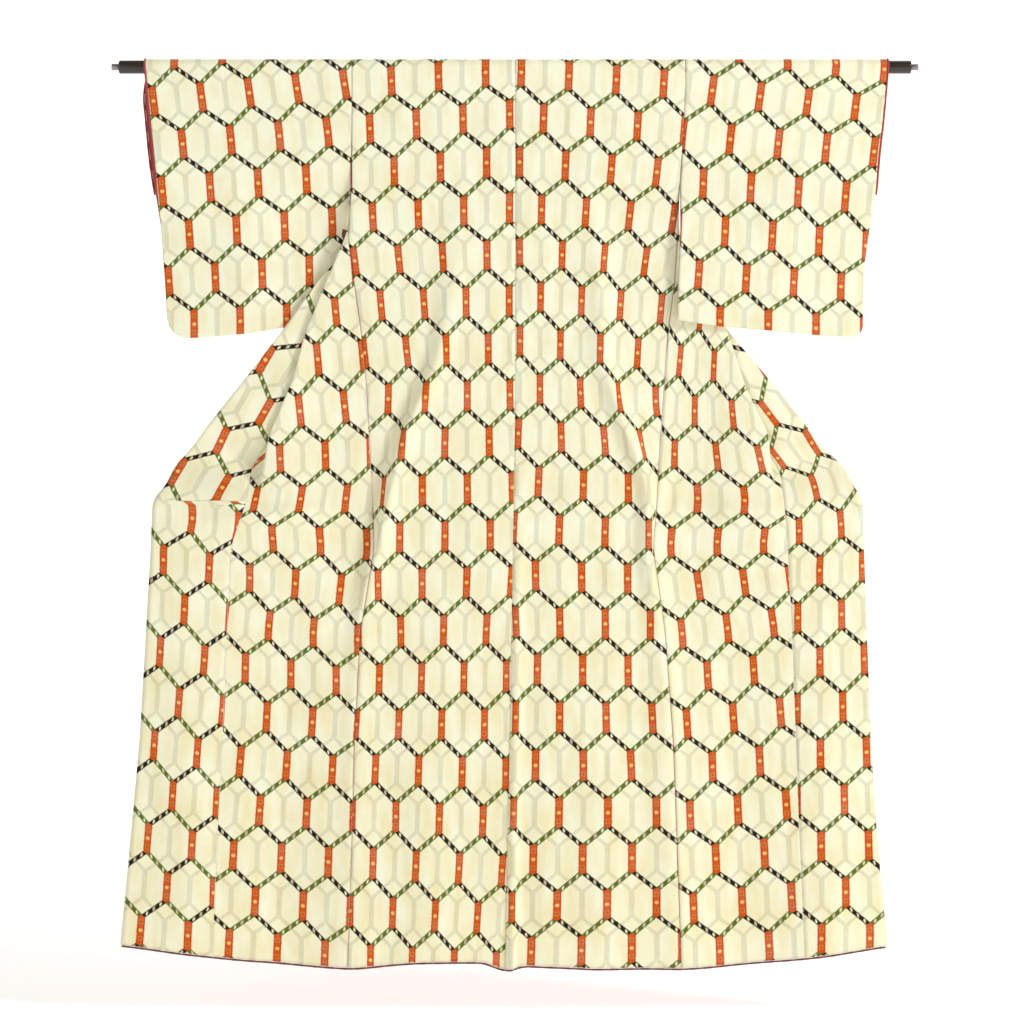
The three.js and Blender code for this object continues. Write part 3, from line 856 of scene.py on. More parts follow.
@dataclass(frozen=True)
class HexagonSizes:
    """The sizes of the pattern's parts, mm, and how strongly some of them show."""

    bar: float = 6.9
    band: float = 4.1
    second_bar: float = 4.6
    second_band: float = 3.0
    ashen: tuple[float, float] = (0.54, 0.09)
    blossom_from_middle: float = 15.6
    blossom: float = 2.5
    square: float = 2.5
    square_thick: float = 2.4
    square_heart: float = 1.4
    flower: float = 3.1
    core: float = 4.4
    frame_from_middle: float = 15.0
    rail: float = 3.4
    rail_reach: float = 4.8
    rung: float = 3.2
    heart: tuple[float, float] = (2.8, 2.1)


def kasuri_group(lattice: bpy.types.NodeTree, sizes: HexagonSizes) -> bpy.types.NodeTree:
    """Builds the dyed-thread hexagon pattern with its blossoms, squares and feathered edges.

    Args:
        lattice: the lattice group.
        sizes: the sizes of the pattern's parts.

    Returns:
        A group that gives the cloth's colour and the strength of the dye.
    """
    tree, w, i, o = shader_group("hexagon kasuri", (
        ("Place", "NodeSocketVector", None),
        ("Feather mm", "NodeSocketFloat", 3.0),
        *((dye, "NodeSocketColor", None) for dye in DYES),
    ), (("Color", "NodeSocketColor"), ("Dye", "NodeSocketFloat")))
    ground, red, navy, green, yellow, ash = (i.outputs[dye] for dye in DYES)
    u, v = (w.times(k, 1000.0) for k in w.split(i.outputs["Place"]))
    weft = w.noise(w.vector(w.times(u, 0.09), w.times(v, 1.7)), 1.0, 2.0, 0.7)
    warp = w.noise(w.vector(w.times(u, 1.7), w.times(v, 0.09), 7.0), 1.0, 2.0, 0.7)
    feather = i.outputs["Feather mm"]
    fu = w.maths("MULTIPLY_ADD", w.maths("SUBTRACT", weft, 0.5), w.times(feather, 2.2), u)
    fv = w.maths("MULTIPLY_ADD", w.maths("SUBTRACT", warp, 0.5), w.times(feather, 1.4), v)

    def lattice_at(at_u: object, bar: float, band: float) -> bpy.types.Node:
        """Returns a lattice node at a slid place."""
        return w.group(lattice, {"U": at_u, "V": fv, "Bar half width": bar, "Band half width": band})

    main = lattice_at(fu, sizes.bar, sizes.band)
    second = lattice_at(w.maths("ADD", fu, COLUMN / 2), sizes.second_bar, sizes.second_band)

    # The second lattice is woven of small dark dots.
    dots = w.noise(w.vector(w.times(u, 0.95), w.times(v, 1.1), 2.0), 1.0, 1.0)
    dots = w.maths("MULTIPLY_ADD", dots, 4.0, -1.9, clamp=True)
    shade = w.maths("MAXIMUM", second.outputs["Bar"], second.outputs["Band"])
    ashen = w.times(shade, w.maths("MULTIPLY_ADD", dots, *sizes.ashen))
    colour = w.mix(ashen, ground, ash)

    # Bands: green where they lean one way, navy the other; blossoms near the ends, a square in the middle.
    band_colour = w.mix(main.outputs["Lean"], navy, green)
    from_middle = w.times(w.size(w.maths("SUBTRACT", main.outputs["Along"], 0.5)), BAND_LENGTH)
    off = w.size(main.outputs["Off"])
    star = w.length(off, w.maths("SUBTRACT", from_middle, sizes.blossom_from_middle))
    cream = w.mix(0.25, ground, yellow)
    band_colour = w.mix(w.inside(sizes.blossom, star, 1.4), band_colour, cream)
    square = w.maths("MAXIMUM", w.times(off, 0.75), from_middle)
    pale = w.times(w.inside(sizes.square, square, 0.8), w.inside(sizes.square_thick, off, 0.8))
    band_colour = w.mix(w.times(pale, 0.8), band_colour, ground)
    band_colour = w.mix(w.times(w.inside(sizes.square_heart, square, 0.6), 0.45), band_colour, red)
    colour = w.mix(main.outputs["Band"], colour, band_colour)

    # Bars: a blossom in the middle, a framed green square above and below it.
    x, y = w.size(main.outputs["X"]), w.size(main.outputs["Y"])
    core = w.mix(w.times(w.inside(sizes.core, x, 1.6), 0.15), red, yellow)
    bar_colour = w.mix(w.inside(sizes.flower, w.length(w.times(x, 0.9), y), 1.6), core, yellow)
    from_square = w.size(w.maths("SUBTRACT", y, sizes.frame_from_middle))
    from_rail = w.size(w.maths("SUBTRACT", x, sizes.rail))
    from_rung = w.size(w.maths("SUBTRACT", from_square, sizes.rung))
    rails = w.times(w.inside(0.55, from_rail, 0.5), w.inside(sizes.rail_reach, from_square, 1.0))
    rungs = w.times(w.inside(0.5, from_rung, 0.5), w.inside(sizes.rail, x, 0.8))
    bar_colour = w.mix(w.times(w.maths("MAXIMUM", rails, rungs), 0.3), bar_colour, yellow)
    heart = w.times(w.inside(sizes.heart[0], x, 0.8), w.inside(sizes.heart[1], from_square, 0.8))
    bar_colour = w.mix(w.times(heart, 0.26), bar_colour, green)
    colour = w.mix(main.outputs["Bar"], colour, bar_colour)
    w.feed(o.inputs["Color"], colour)
    w.feed(o.inputs["Dye"], w.maths("MAXIMUM", main.outputs["Bar"], main.outputs["Band"]))
    return tree


@dataclass(frozen=True)
class Kasuri:
    """The kimono cloth: pale slubbed ground with the woven hexagon pattern."""

    ground: Color = (0.965, 0.962, 0.735, 1)
    red: Color = (0.61, 0.038, 0.009, 1)
    navy: Color = (0.011, 0.009, 0.006, 1)
    green: Color = (0.11, 0.17, 0.025, 1)
    yellow: Color = (0.93, 0.66, 0.2, 1)
    ash: Color = (0.09, 0.11, 0.09, 1)
    stain: Color = (0.95, 0.87, 0.71, 1)
    feather: float = 3.0
    slub: float = 0.6
    roughness: float = 0.82
    stain_size: tuple[float, float, float] = (44, 13, 1)

    def material(self, name: str, kasuri: bpy.types.NodeTree,
                 weave: bpy.types.NodeTree) -> bpy.types.Material:
        """Builds the material.

        Args:
            name: the material's name.
            kasuri: the pattern group.
            weave: the weave group.

        Returns:
            The material, which reads the UV map "cloth".
        """
        made, w, shader = new_finish(name)
        place = w.node("ShaderNodeUVMap", uv_map="cloth").outputs[0]
        dyes = {dye: getattr(self, dye.lower()) for dye in DYES}
        pattern = w.group(kasuri, {"Place": place, "Feather mm": self.feather, **dyes})
        threads = w.group(weave, {"Place": place, "Slub": self.slub})

        # Soft tan patches, longer along the warp, and a tan tint that grows stronger towards the hem.
        lower = w.maths("MULTIPLY_ADD", w.split(place)[1], -0.24, -1.12)
        patches = w.noise(w.scaled(place, self.stain_size), 1.0, 3.0)
        tinted = w.node("ShaderNodeMix", data_type="RGBA", blend_type="MULTIPLY")
        w.feed(tinted.inputs[0], w.maths("MULTIPLY_ADD", patches, 2.6, lower, clamp=True))
        w.feed(tinted.inputs[6], pattern.outputs["Color"])
        w.feed(tinted.inputs[7], self.stain)

        # Age and uneven threads shift the tone a little.
        age = w.noise(place, 13.0, 4.0, 0.6)
        tone = w.node("ShaderNodeHueSaturation")
        w.feed(tone.inputs["Color"], tinted.outputs[2])
        w.feed(tone.inputs["Saturation"], w.maths("MULTIPLY_ADD", age, 0.34, 0.85))
        value = w.maths("MULTIPLY_ADD", threads.outputs["Slubs"], 0.14, 0.965)
        w.feed(tone.inputs["Value"], w.maths("MULTIPLY_ADD", age, -0.1, value))
        w.feed(shader.inputs["Base Color"], tone.outputs[0])
        matt = w.maths("MULTIPLY_ADD", pattern.outputs["Dye"], -0.08, self.roughness)
        w.feed(shader.inputs["Roughness"], matt)
        w.bump(shader, threads.outputs["Height"], 0.25, 0.0003)
        shader.inputs["Specular IOR Level"].default_value = 0.2
        shader.inputs["Sheen Weight"].default_value = 0.06
        shader.inputs["Sheen Roughness"].default_value = 0.5
        return made


@dataclass(frozen=True)
class Lining:
    """A plain woven cloth or thread of one colour, such as the dark red lining."""

    colour: Color = (0.36, 0.022, 0.018, 1)
    pale: Color = (0.46, 0.04, 0.03, 1)
    thread: float = 0.3
    slub: float = 0.25

    def material(self, name: str, weave: bpy.types.NodeTree) -> bpy.types.Material:
        """Builds the material.

        Args:
            name: the material's name.
            weave: the weave group.

        Returns:
            The material, which reads the UV map "cloth".
        """
        made, w, shader = new_finish(name)
        place = w.node("ShaderNodeUVMap", uv_map="cloth").outputs[0]
        threads = w.group(weave, {"Place": place, "Thread mm": self.thread, "Slub": self.slub})
        w.feed(shader.inputs["Base Color"], w.mix(threads.outputs["Slubs"], self.colour, self.pale))
        shader.inputs["Roughness"].default_value = 0.6
        w.bump(shader, threads.outputs["Height"], 0.2, 0.0002)
        shader.inputs["Sheen Weight"].default_value = 0.3
        return made


@dataclass(frozen=True)
class Lacquer:
    """Dark brown lacquered wood with faint lengthwise grain and small worn specks."""

    dark: Color = (0.012, 0.007, 0.005, 1)
    light: Color = (0.05, 0.026, 0.017, 1)

    def material(self, name: str) -> bpy.types.Material:
        """Returns the material of the pole, on Object coordinates."""
        made, w, shader = new_finish(name)
        where = w.node("ShaderNodeTexCoord").outputs["Object"]
        grain = w.noise(w.scaled(where, (6, 160, 160)), 1.0, 5.0, 0.6)
        specks = w.maths("MULTIPLY_ADD", w.noise(where, 420.0, 2.0), 5.0, -2.9, clamp=True)
        tint = w.maths("MAXIMUM", w.times(grain, 0.6), w.times(specks, 0.8))
        w.feed(shader.inputs["Base Color"], w.mix(tint, self.dark, self.light))
        w.feed(shader.inputs["Roughness"], w.maths("MULTIPLY_ADD", grain, 0.2, 0.22))
        shader.inputs["Coat Weight"].default_value = 0.4
        shader.inputs["Coat Roughness"].default_value = 0.12
        w.bump(shader, grain, 0.15, 0.0002)
        return made


@dataclass(frozen=True)
class DullSteel:
    """The turned metal of the pole's tips."""

    colour: Color = (0.22, 0.22, 0.23, 1)
    worn: Color = (0.4, 0.39, 0.38, 1)

    def material(self, name: str) -> bpy.types.Material:
        """Returns the material of the tips, on Object coordinates."""
        made, w, shader = new_finish(name)
        where = w.node("ShaderNodeTexCoord").outputs["Object"]
        turned = w.noise(w.scaled(where, (2600, 60, 60)), 1.0, 2.0)
        w.feed(shader.inputs["Base Color"], w.mix(turned, self.colour, self.worn))
        shader.inputs["Metallic"].default_value = 0.9
        w.feed(shader.inputs["Roughness"], w.maths("MULTIPLY_ADD", turned, 0.25, 0.3))
        return made


class Cloths:
    """All finishes, each built once."""

    def __init__(self) -> None:
        """Builds the groups and the materials."""
        weave = weave_group()
        kasuri = kasuri_group(lattice_group(), HexagonSizes())
        self.kasuri = Kasuri().material("hexagon kasuri cloth", kasuri, weave)
        self.lining = Lining().material("red lining", weave)
        # The roll finish is a darker copy of the red lining: painted shade for the lining under the hem and
        # in the gap at the left armhole.
        roll = Lining(colour=(0.11, 0.014, 0.01, 1), pale=(0.2, 0.024, 0.016, 1))
        self.roll = roll.material("rolled lining", weave)
        thread = Lining(colour=(0.75, 0.72, 0.6, 1), pale=(0.85, 0.82, 0.7, 1))
        self.thread = thread.material("sewing thread", weave)
        self.lacquer = Lacquer().material("lacquered wood")
        self.steel = DullSteel().material("dull steel")


def laid(table: EasedTable, z: np.ndarray, share: np.ndarray) -> tuple[np.ndarray, np.ndarray]:
    """How far the pattern is slid and dropped.

    Args:
        table: the rows of LayLevel, eased.
        z: levels, mm.
        share: 0 at the width's inner edge to 1 at its outer edge.

    Returns:
        The slide outward and the drop, mm.
    """
    slide = table.slide_in(z) * (1 - share) + table.slide_out(z) * share
    drop = table.drop_in(z) * (1 - share) + table.drop_out(z) * share
    return slide, drop


@dataclass
class Body:
    """One body length: back panel, over the pole, and the opened front up to the front panel's seam."""

    side: Side
    back_lay: list[LayLevel]
    front_lay: list[LayLevel]
    inner_columns: int = 18
    levels_above: int = 110
    levels_below: int = 120

    def heights(self) -> np.ndarray:
        """Returns the nominal levels from under the pole to the hem."""
        above = np.linspace(-60, HELD_LEVEL, self.levels_above)
        below = np.linspace(HELD_LEVEL, LAST_LEVEL, self.levels_below)[1:]
        return np.concatenate([above, below])

    def grid(self) -> Grid:
        """Returns the whole length as one mid surface from the back's hem to the front's hem."""
        path = FrontPath(self.side)
        outer = path.body_end
        sign = self.side.value
        rows: list[np.ndarray] = []
        cloth: list[np.ndarray] = []
        back, front = EasedTable(self.back_lay), EasedTable(self.front_lay)

        def back_row(z: float, y: float | None, run: float) -> None:
            """Adds a row of the back panel at a level, with its place along the cloth."""
            level = min(z, -45.0)
            seam = float(FRONTS[self.side].seam(level)) - SEAM
            middle = sign * float(CENTRE(z)) + SEAM
            neck = middle + (seam - middle) * NECK_HALF / HALF_BACK
            out = np.concatenate([
                np.linspace(middle, neck, self.inner_columns + 1)[:-1],
                np.linspace(neck, seam, outer + 1),
            ])
            x = sign * out
            lv = lowered(x, np.full(len(x), z))
            if y is None:
                groove = sum(np.exp(-((gap / GROOVE_WIDTH) ** 2)) for gap in (out - middle, seam - out))
                groove = GROOVE_DEPTH * groove * smooth((-z - 20) / 60)
                depth = back_depth(lv) + drape(x, lv) + crumple(x, lv) + groove
            else:
                depth = np.full(len(x), y)
            points = np.stack([x, depth, lv], axis=1)
            walked = way_along(points[:, :2])
            slide, drop = laid(back, lv, walked / BACK_SPAN)
            rows.append(points)
            cloth.append(np.stack([sign * (walked + slide), (lv if y is None else run) + drop], axis=1))

        # Up the back panel, over the pole and down to the neck's cut on the far side.
        for z in (*self.heights()[::-1], *np.linspace(-50, -4, 9)):
            back_row(z, None, 0)
        for degrees in np.linspace(0, 180, 25):
            a = math.radians(degrees)
            back_row(WRAP * math.sin(a), -WRAP * math.cos(a), WRAP * a)
        for z in (-15.0, -30.0, -44.0, -58.5):
            back_row(z, WRAP, WRAP * math.pi - z)
        back_rows = len(rows)

        # Down the front; its rows are padded where the neck and the front opening leave no cloth.
        for z in self.heights():
            walk = path.level(z)[:outer + 1]
            points = hung(self.side, walk, z)
            slide, drop = laid(front, points[:, 2], walk[:, 2] / FRONT_SPAN)
            u = sign * (walk[:, 2] + slide)
            pad = np.repeat(points[-1:], self.inner_columns, axis=0)
            rows.append(np.concatenate([pad, points[::-1]]))
            uv = np.stack([u, points[:, 2] + drop], axis=1)
            cloth.append(np.concatenate([np.repeat(uv[-1:], self.inner_columns, axis=0), uv[::-1]]))
        points, uv = np.array(rows), np.array(cloth)
        kept = np.ones((len(rows) - 1, points.shape[1] - 1), bool)
        kept[back_rows - 2:, :self.inner_columns] = False
        return Grid(points, uv, kept)


@dataclass
class FrontPanel:
    """The okumi: the narrow panel between the body's front and the front edge."""

    side: Side
    lay: list[LayLevel]
    lean: list[LeanLevel]
    mirrored: bool

    def grid(self) -> Grid:
        """Returns the panel's mid surface from its pointed top to the hem."""
        path = FrontPath(self.side)
        sign = self.side.value
        table = EasedTable(self.lay)
        lean = EasedTable(self.lean)
        held = path.level(HELD_LEVEL)
        corner, width = held[-1, 0], held[-1, 0] - held[path.okumi_start, 0]
        rows, cloth = [], []
        levels = np.concatenate([
            np.linspace(-277, HELD_LEVEL - 3, 84),
            np.linspace(HELD_LEVEL - 4.5, LAST_LEVEL, 120),
        ])
        for z in levels:
            walk = path.level(z)[path.okumi_start:]
            points = hung(self.side, walk, z)
            # Above the held corner the grain runs slanting, so the pattern turns about that corner.
            turn = math.radians(float(lean.angle(z)))
            x = walk[:, 0] - (corner if z > HELD_LEVEL - 4 else walk[0, 0] + width)
            y = points[:, 2] - HELD_LEVEL
            slide, drop = laid(table, points[:, 2], (walk[:, 2] - walk[0, 2]) / FRONT_SPAN)
            u = x * math.cos(turn) + y * math.sin(turn) + slide
            v = y * math.cos(turn) - x * math.sin(turn) + drop + HELD_LEVEL
            rows.append(points)
            cloth.append(np.stack([(-sign if self.mirrored else sign) * u, v], axis=1))
        return Grid(np.array(rows), np.array(cloth))


@dataclass
class Sleeve:
    """A sleeve bag: folded at the pole, sewn along the bottom and the lower cuff.

    Attributes:
        side: the half it belongs to.
        edges: its inner and outer edge at some levels.
        bottom: points of the bottom seam.
        swing: how far its inner edge stands off the body below the armhole, mm.
        corner: the radius of the bottom's corner at the cuff, mm.
        far_wider: how far the far wall's cuff stands out past the near wall's, mm.
        lay: how the pattern lies on it.
        stations: the number of loops before the closer ones at the cuff.
    """

    # Level where the edges are read for the bottom, half the walls' distance where they are sewn
    # together, the share from which rows are closer, and the shift of the far wall's ripples.
    LOWEST = -470
    SEWN_GAP = 1.6
    NEAR_END = 0.9
    FAR_RIPPLE = 400

    side: Side
    edges: list[SleeveLevel]
    bottom: list[PointXZ]
    swing: float
    corner: float
    far_wider: float
    lay: list[LayLevel]
    stations: int = 66
    table: EasedTable = field(init=False)
    low: Ease = field(init=False)

    def __post_init__(self) -> None:
        """Eases the tables."""
        self.table = EasedTable(self.edges)
        self.low = Ease([p.x for p in self.bottom], [p.z for p in self.bottom])

    @staticmethod
    def bag(z: float) -> float:
        """Returns half the distance between the walls where the cuff is open."""
        return 3 + (WRAP - 3) * float(smooth(1 + z / SLEEVE_DEPTH)) ** 0.8

    @staticmethod
    def free(z: float) -> float:
        """Returns 0 where the sleeve is sewn to the body, rising to 1 well below the armhole."""
        return float(smooth((SWING_START - z) / 130))

    def swung(self, z: float) -> float:
        """Returns how far the sleeve's inner edge is moved along Y at a level."""
        return self.swing * self.free(z)

    def wider(self, z: float, far: bool) -> float:
        """Returns how far the far wall's cuff stands out past the near wall's."""
        return float(self.far_wider * smooth(-z / 60) * smooth((z + 300) / 150)) if far else 0.0

    def out(self, t: float, z: float, far: bool) -> float:
        """Returns the outward place at a level, t being 0 at the armhole and 1 at the cuff."""
        inner, outer = float(self.table.inner(z)) + SEAM, float(self.table.outer(z))
        return inner + t * (outer + self.wider(z, far) - inner)

    def gap(self, t: float, z: float) -> float:
        """Returns half the distance between the walls, which are sewn together low at the cuff."""
        shut = float(smooth((t - self.NEAR_END) / 0.1) * smooth((CUFF_OPEN - z) / 40))
        return self.bag(z) + (self.SEWN_GAP - self.bag(z)) * shut

    def middle(self, t: float, z: float) -> float:
        """Returns the depth between the walls."""
        bulge = 6 * math.exp(-(((t - 0.55) / 0.16) ** 2)) * self.free(z)
        return self.swung(z) * (1 - 0.6 * float(smooth(t * 1.1))) - bulge

    def bottom_level(self, t: float) -> float:
        """Returns the level of the bottom seam, with its corner rounded at the cuff."""
        x, edge = self.out(t, self.LOWEST, False), float(self.table.outer(self.LOWEST))
        past = min(1.0, max(0.0, (x - (edge - self.corner)) / self.corner))
        return float(self.low(x)) + self.corner * (1 - math.sqrt(1 - past * past))

    def loop(self, t: float, shares: np.ndarray) -> np.ndarray:
        """Returns one loop: up the near wall, over the pole, down the far wall and round the bottom.

        Args:
            t: 0 at the armhole to 1 at the cuff.
            shares: the places down each wall, as shares of its height.

        Returns:
            The loop's points, mm.
        """
        sign = self.side.value
        bottom = self.bottom_level(t)
        low = bottom + self.gap(t, bottom)
        walls = []
        for far in (False, True):
            wall = []
            for q in shares:
                z = q * low
                x, gap = sign * self.out(t, z, far), self.gap(t, z)
                loose = 0.8 if gap > 2.5 else 0.2
                ripple = float(crumple(x + (self.FAR_RIPPLE if far else 0), z)) * loose
                ripple = ripple * (1 - smooth((q - self.NEAR_END) / 0.1))
                wall.append((x, self.middle(t, z) + (1 if far else -1) * gap + ripple, z))
            walls.append(wall)
        over = []
        for a in (math.radians(degrees) for degrees in np.linspace(0, 180, 21)):
            z = WRAP * math.sin(a)
            over.append((sign * self.out(t, z, False), -WRAP * math.cos(a), z))
        under = []
        for a in (math.radians(degrees) for degrees in (30, 60, 90, 120, 150)):
            z = low - self.gap(t, low) * math.sin(a)
            y = self.middle(t, low) + self.gap(t, low) * math.cos(a)
            under.append((sign * self.out(t, z, False), y, z))
        return np.array([*walls[0][::-1], *over, *walls[1], *under])

    def grid(self) -> Grid:
        """Returns the bag as one mid surface of loops from the armhole to the cuff."""
        rows, cloth = [], []
        sign = self.side.value
        lay = EasedTable(self.lay)
        near = self.NEAR_END
        stations = np.concatenate([np.linspace(0, near, self.stations), np.linspace(near, 1, 12)[1:]])
        shares = np.concatenate([np.linspace(0.04, near, 44), np.linspace(near, 1, 8)[1:]])
        for t in stations:
            points = self.loop(t, shares)
            slide, drop = laid(lay, points[:, 2], (sign * points[:, 0] - SLEEVE_START) / SLEEVE_SPAN)
            rows.append(points)
            cloth.append(np.stack([points[:, 0] + sign * slide, points[:, 2] + drop], axis=1))
        return Grid(np.array(rows), np.array(cloth), closed=True)


@dataclass
class Collar:
    """The collar band, folded double, and the over-collar that lies on its middle."""

    steps: int = 260
    across: int = 12

    def seam_line(self) -> np.ndarray:
        """Returns the collar's seam from the left front's end round the neck to the right one, mm."""
        ends = np.concatenate([np.linspace(COLLAR_END, -250, 30), np.linspace(-240, -120, 8)])

        def leg(side: Side) -> list[tuple[float, float]]:
            """Returns one slanting leg, from its end up."""
            path = FrontPath(side)
            return [(side.value * (float(path.level(z)[-1, 0]) - 1), float(z)) for z in ends]

        neck = [(x, -62.0 if abs(x) > 80 else -47.0) for x in (-84, -60, -30, 0, 30, 60, 84)]
        rough = np.array([*leg(Side.LEFT), *neck, *leg(Side.RIGHT)[::-1]])
        line = read_along(np.linspace(0, way_along(rough)[-1], self.steps * 2 + 1), rough)
        soft = softened(line, 15)
        ends_kept = smooth(np.minimum(np.arange(len(line)), np.arange(len(line))[::-1]) / 20)[:, None]
        return soft * ends_kept + line * (1 - ends_kept)

    @staticmethod
    def depth(x: np.ndarray, z: np.ndarray) -> np.ndarray:
        """Returns the depth of the band's middle over the layers it lies on, mm."""
        levels = np.arange(-900, -40, 10.0)
        found = {}
        for side in Side:
            path = FrontPath(side)
            top = []
            for level in levels:
                walk = path.level(min(level, -46.0))
                top.append(max(walk[-1, 1], walk[path.body_end, 1], walk[path.body_end - path.JOIN, 1]))
            top = np.array(top)
            near = (-20, -10, 0, 10, 20, 30, 45)
            spread = np.max([np.interp(levels + d, levels, top) for d in near], axis=0)
            eased = softened(spread[:, None], 3)[:, 0]
            found[side] = np.interp(z, levels, np.maximum(spread, eased))
        blend = smooth((x + 40) / 80)
        return found[Side.LEFT] * (1 - blend) + found[Side.RIGHT] * blend + WALL / 2 + 1.4 + BAND_WALL / 2

    def grids(self) -> tuple[Grid, Grid]:
        """Returns the band's mid surface and, moved out from it, the over-collar's."""
        line = self.seam_line()
        tangent = np.gradient(line, axis=0)
        tangent /= np.linalg.norm(tangent, axis=1)[:, None]
        inward = np.stack([tangent[:, 1], -tangent[:, 0]], axis=1)
        walked = way_along(line)
        pick = np.arange(0, 2 * self.steps + 1, 2)
        along = walked[pick] - walked[-1] / 2
        width = COLLAR_NARROW + (COLLAR_WIDE - COLLAR_NARROW) * smooth((abs(along) - 150) / 650)
        t = np.linspace(0, 1, self.across + 1)
        xz = line[pick][:, None, :] + inward[pick][:, None, :] * (t[None, :, None] * width[:, None, None])
        y = self.depth(xz[..., 0], xz[..., 1]) + drape(xz[..., 0], xz[..., 1])
        y += 0.25 * np.sin(along / 21)[:, None] * smooth(abs(along) / 90)[:, None]
        points = np.stack([xz[..., 0], y, xz[..., 1]], axis=2)
        cloth = np.stack([
            np.broadcast_to(t[None, :] * width[:, None] + 12, y.shape),
            np.broadcast_to(along[:, None] + 20, y.shape),
        ], axis=2)
        band = Grid(points, cloth)
        over = band.lifted(BAND_WALL / 2 + COVER_GAP + COVER_WALL / 2)
        kept = abs(along) <= COVER_HALF
        return band, Grid(over.points[kept], cloth[kept] + np.array([31.0, 44.0]))


def tube(name: str, path: np.ndarray, radius: float, material: bpy.types.Material,
         sides: int = 12) -> bpy.types.Object:
    """Makes a round roll along a line, with rounded ends.

    Args:
        name: the object's name.
        path: the line's points, mm.
        radius: the roll's radius, mm.
        material: its finish.
        sides: the number of sides.

    Returns:
        The object, with cloth coordinates along and round it.
    """
    way = np.gradient(path, axis=0)
    way /= np.linalg.norm(way, axis=1)[:, None]
    up = np.where(abs(way[:, :1]) > 0.7, [[0.0, 1.0, 0.0]], [[1.0, 0.0, 0.0]])
    a = up - way * (up * way).sum(1)[:, None]
    a /= np.linalg.norm(a, axis=1)[:, None]
    b = np.cross(way, a)
    swell = 1 + 0.08 * np.sin(np.arange(len(path)) * 0.9) + 0.05 * np.sin(np.arange(len(path)) * 2.3)
    turns = np.linspace(0, 2 * math.pi, sides, endpoint=False)
    rings = path[:, None] + radius * swell[:, None, None] * (
        a[:, None] * np.cos(turns)[None, :, None] + b[:, None] * np.sin(turns)[None, :, None])
    run = way_along(path)
    points = rings.reshape(-1, 3)
    faces = []
    for here in range(0, (len(path) - 1) * sides, sides):
        there = here + sides
        for k in range(sides):
            after = (k + 1) % sides
            faces.append((here + k, here + after, there + after, there + k))
    faces += [tuple(range(sides)), tuple((len(path) - 1) * sides + k for k in reversed(range(sides)))]
    mesh = bpy.data.meshes.new(name)
    mesh.from_pydata((points * MM).tolist(), [], faces)
    mesh.materials.append(material)
    mesh.polygons.foreach_set("use_smooth", [True] * (len(faces) - 2) + [False] * 2)
    round_it = np.arange(sides) / sides * 2 * math.pi * radius
    lay_uv(mesh, np.stack([np.tile(round_it, len(path)), np.repeat(run, sides)], axis=1))
    return finished(mesh, name)


def hem_line(side: Side) -> np.ndarray:
    """Returns the line of the rolled-out lining under one half's hem, mm."""
    sign = side.value
    below = ROLL_RADIUS + 0.7
    middle = sign * float(CENTRE(-1590)) + 0.6
    seam = float(FRONTS[side].seam(LAST_LEVEL))
    x = sign * np.linspace(middle, seam, 60)
    z = HEM_LINE(x)
    back = np.stack([x, back_depth(z) + drape(x, z) + crumple(x, z), z - below], axis=1)
    front = hung(side, FrontPath(side).level(LAST_LEVEL)[1:], LAST_LEVEL) - [0, 0, below]
    front = front[abs(front[:, 0]) > seam + 6]
    line = np.concatenate([back, front])
    return read_along(np.arange(0, way_along(line)[-1], 4.0), line)


def cuff_line(sleeve: Sleeve) -> np.ndarray:
    """Returns the line of the rolled-out lining round one open cuff, mm."""
    sign = sleeve.side.value

    def out(z: float, far: bool) -> float:
        """Returns the roll's outward place at a level."""
        return sign * (float(sleeve.table.outer(z)) + sleeve.wider(z, far) + ROLL_RADIUS + 0.2)

    levels = np.linspace(-225, -12, 44)
    near = [(out(z, False), sleeve.swung(z) * 0.4 - sleeve.bag(z), z) for z in levels]
    far = [(out(z, True), sleeve.swung(z) * 0.4 + sleeve.bag(z), z) for z in levels[::-1]]
    over = POLE_RADIUS + ROLL_RADIUS + 0.6
    turns = np.linspace(0.15, math.pi - 0.15, 16)
    top = [(out(0, False), -over * math.cos(a), over * math.sin(a)) for a in turns]
    return np.array([*near, *top, *far])


def armhole_lining() -> Grid:
    """Returns the bit of sleeve lining that peeps out between the left sleeve and the body, mm."""
    down, along = np.meshgrid(np.linspace(0, 1, 9), np.linspace(0, 1, 7), indexing="ij")
    half = 7.5 * np.sin(np.pi * (0.12 + 0.8 * down)) ** 0.8
    x = -299.5 + 3 * down + half * (2 * along - 1)
    y = 2 - 9 * along + 2.5 * np.sin(math.pi * along)
    z = -285 - 25 * down - 4 * along
    return Grid(np.stack([x, y, z], axis=2), np.stack([x, z], axis=2))


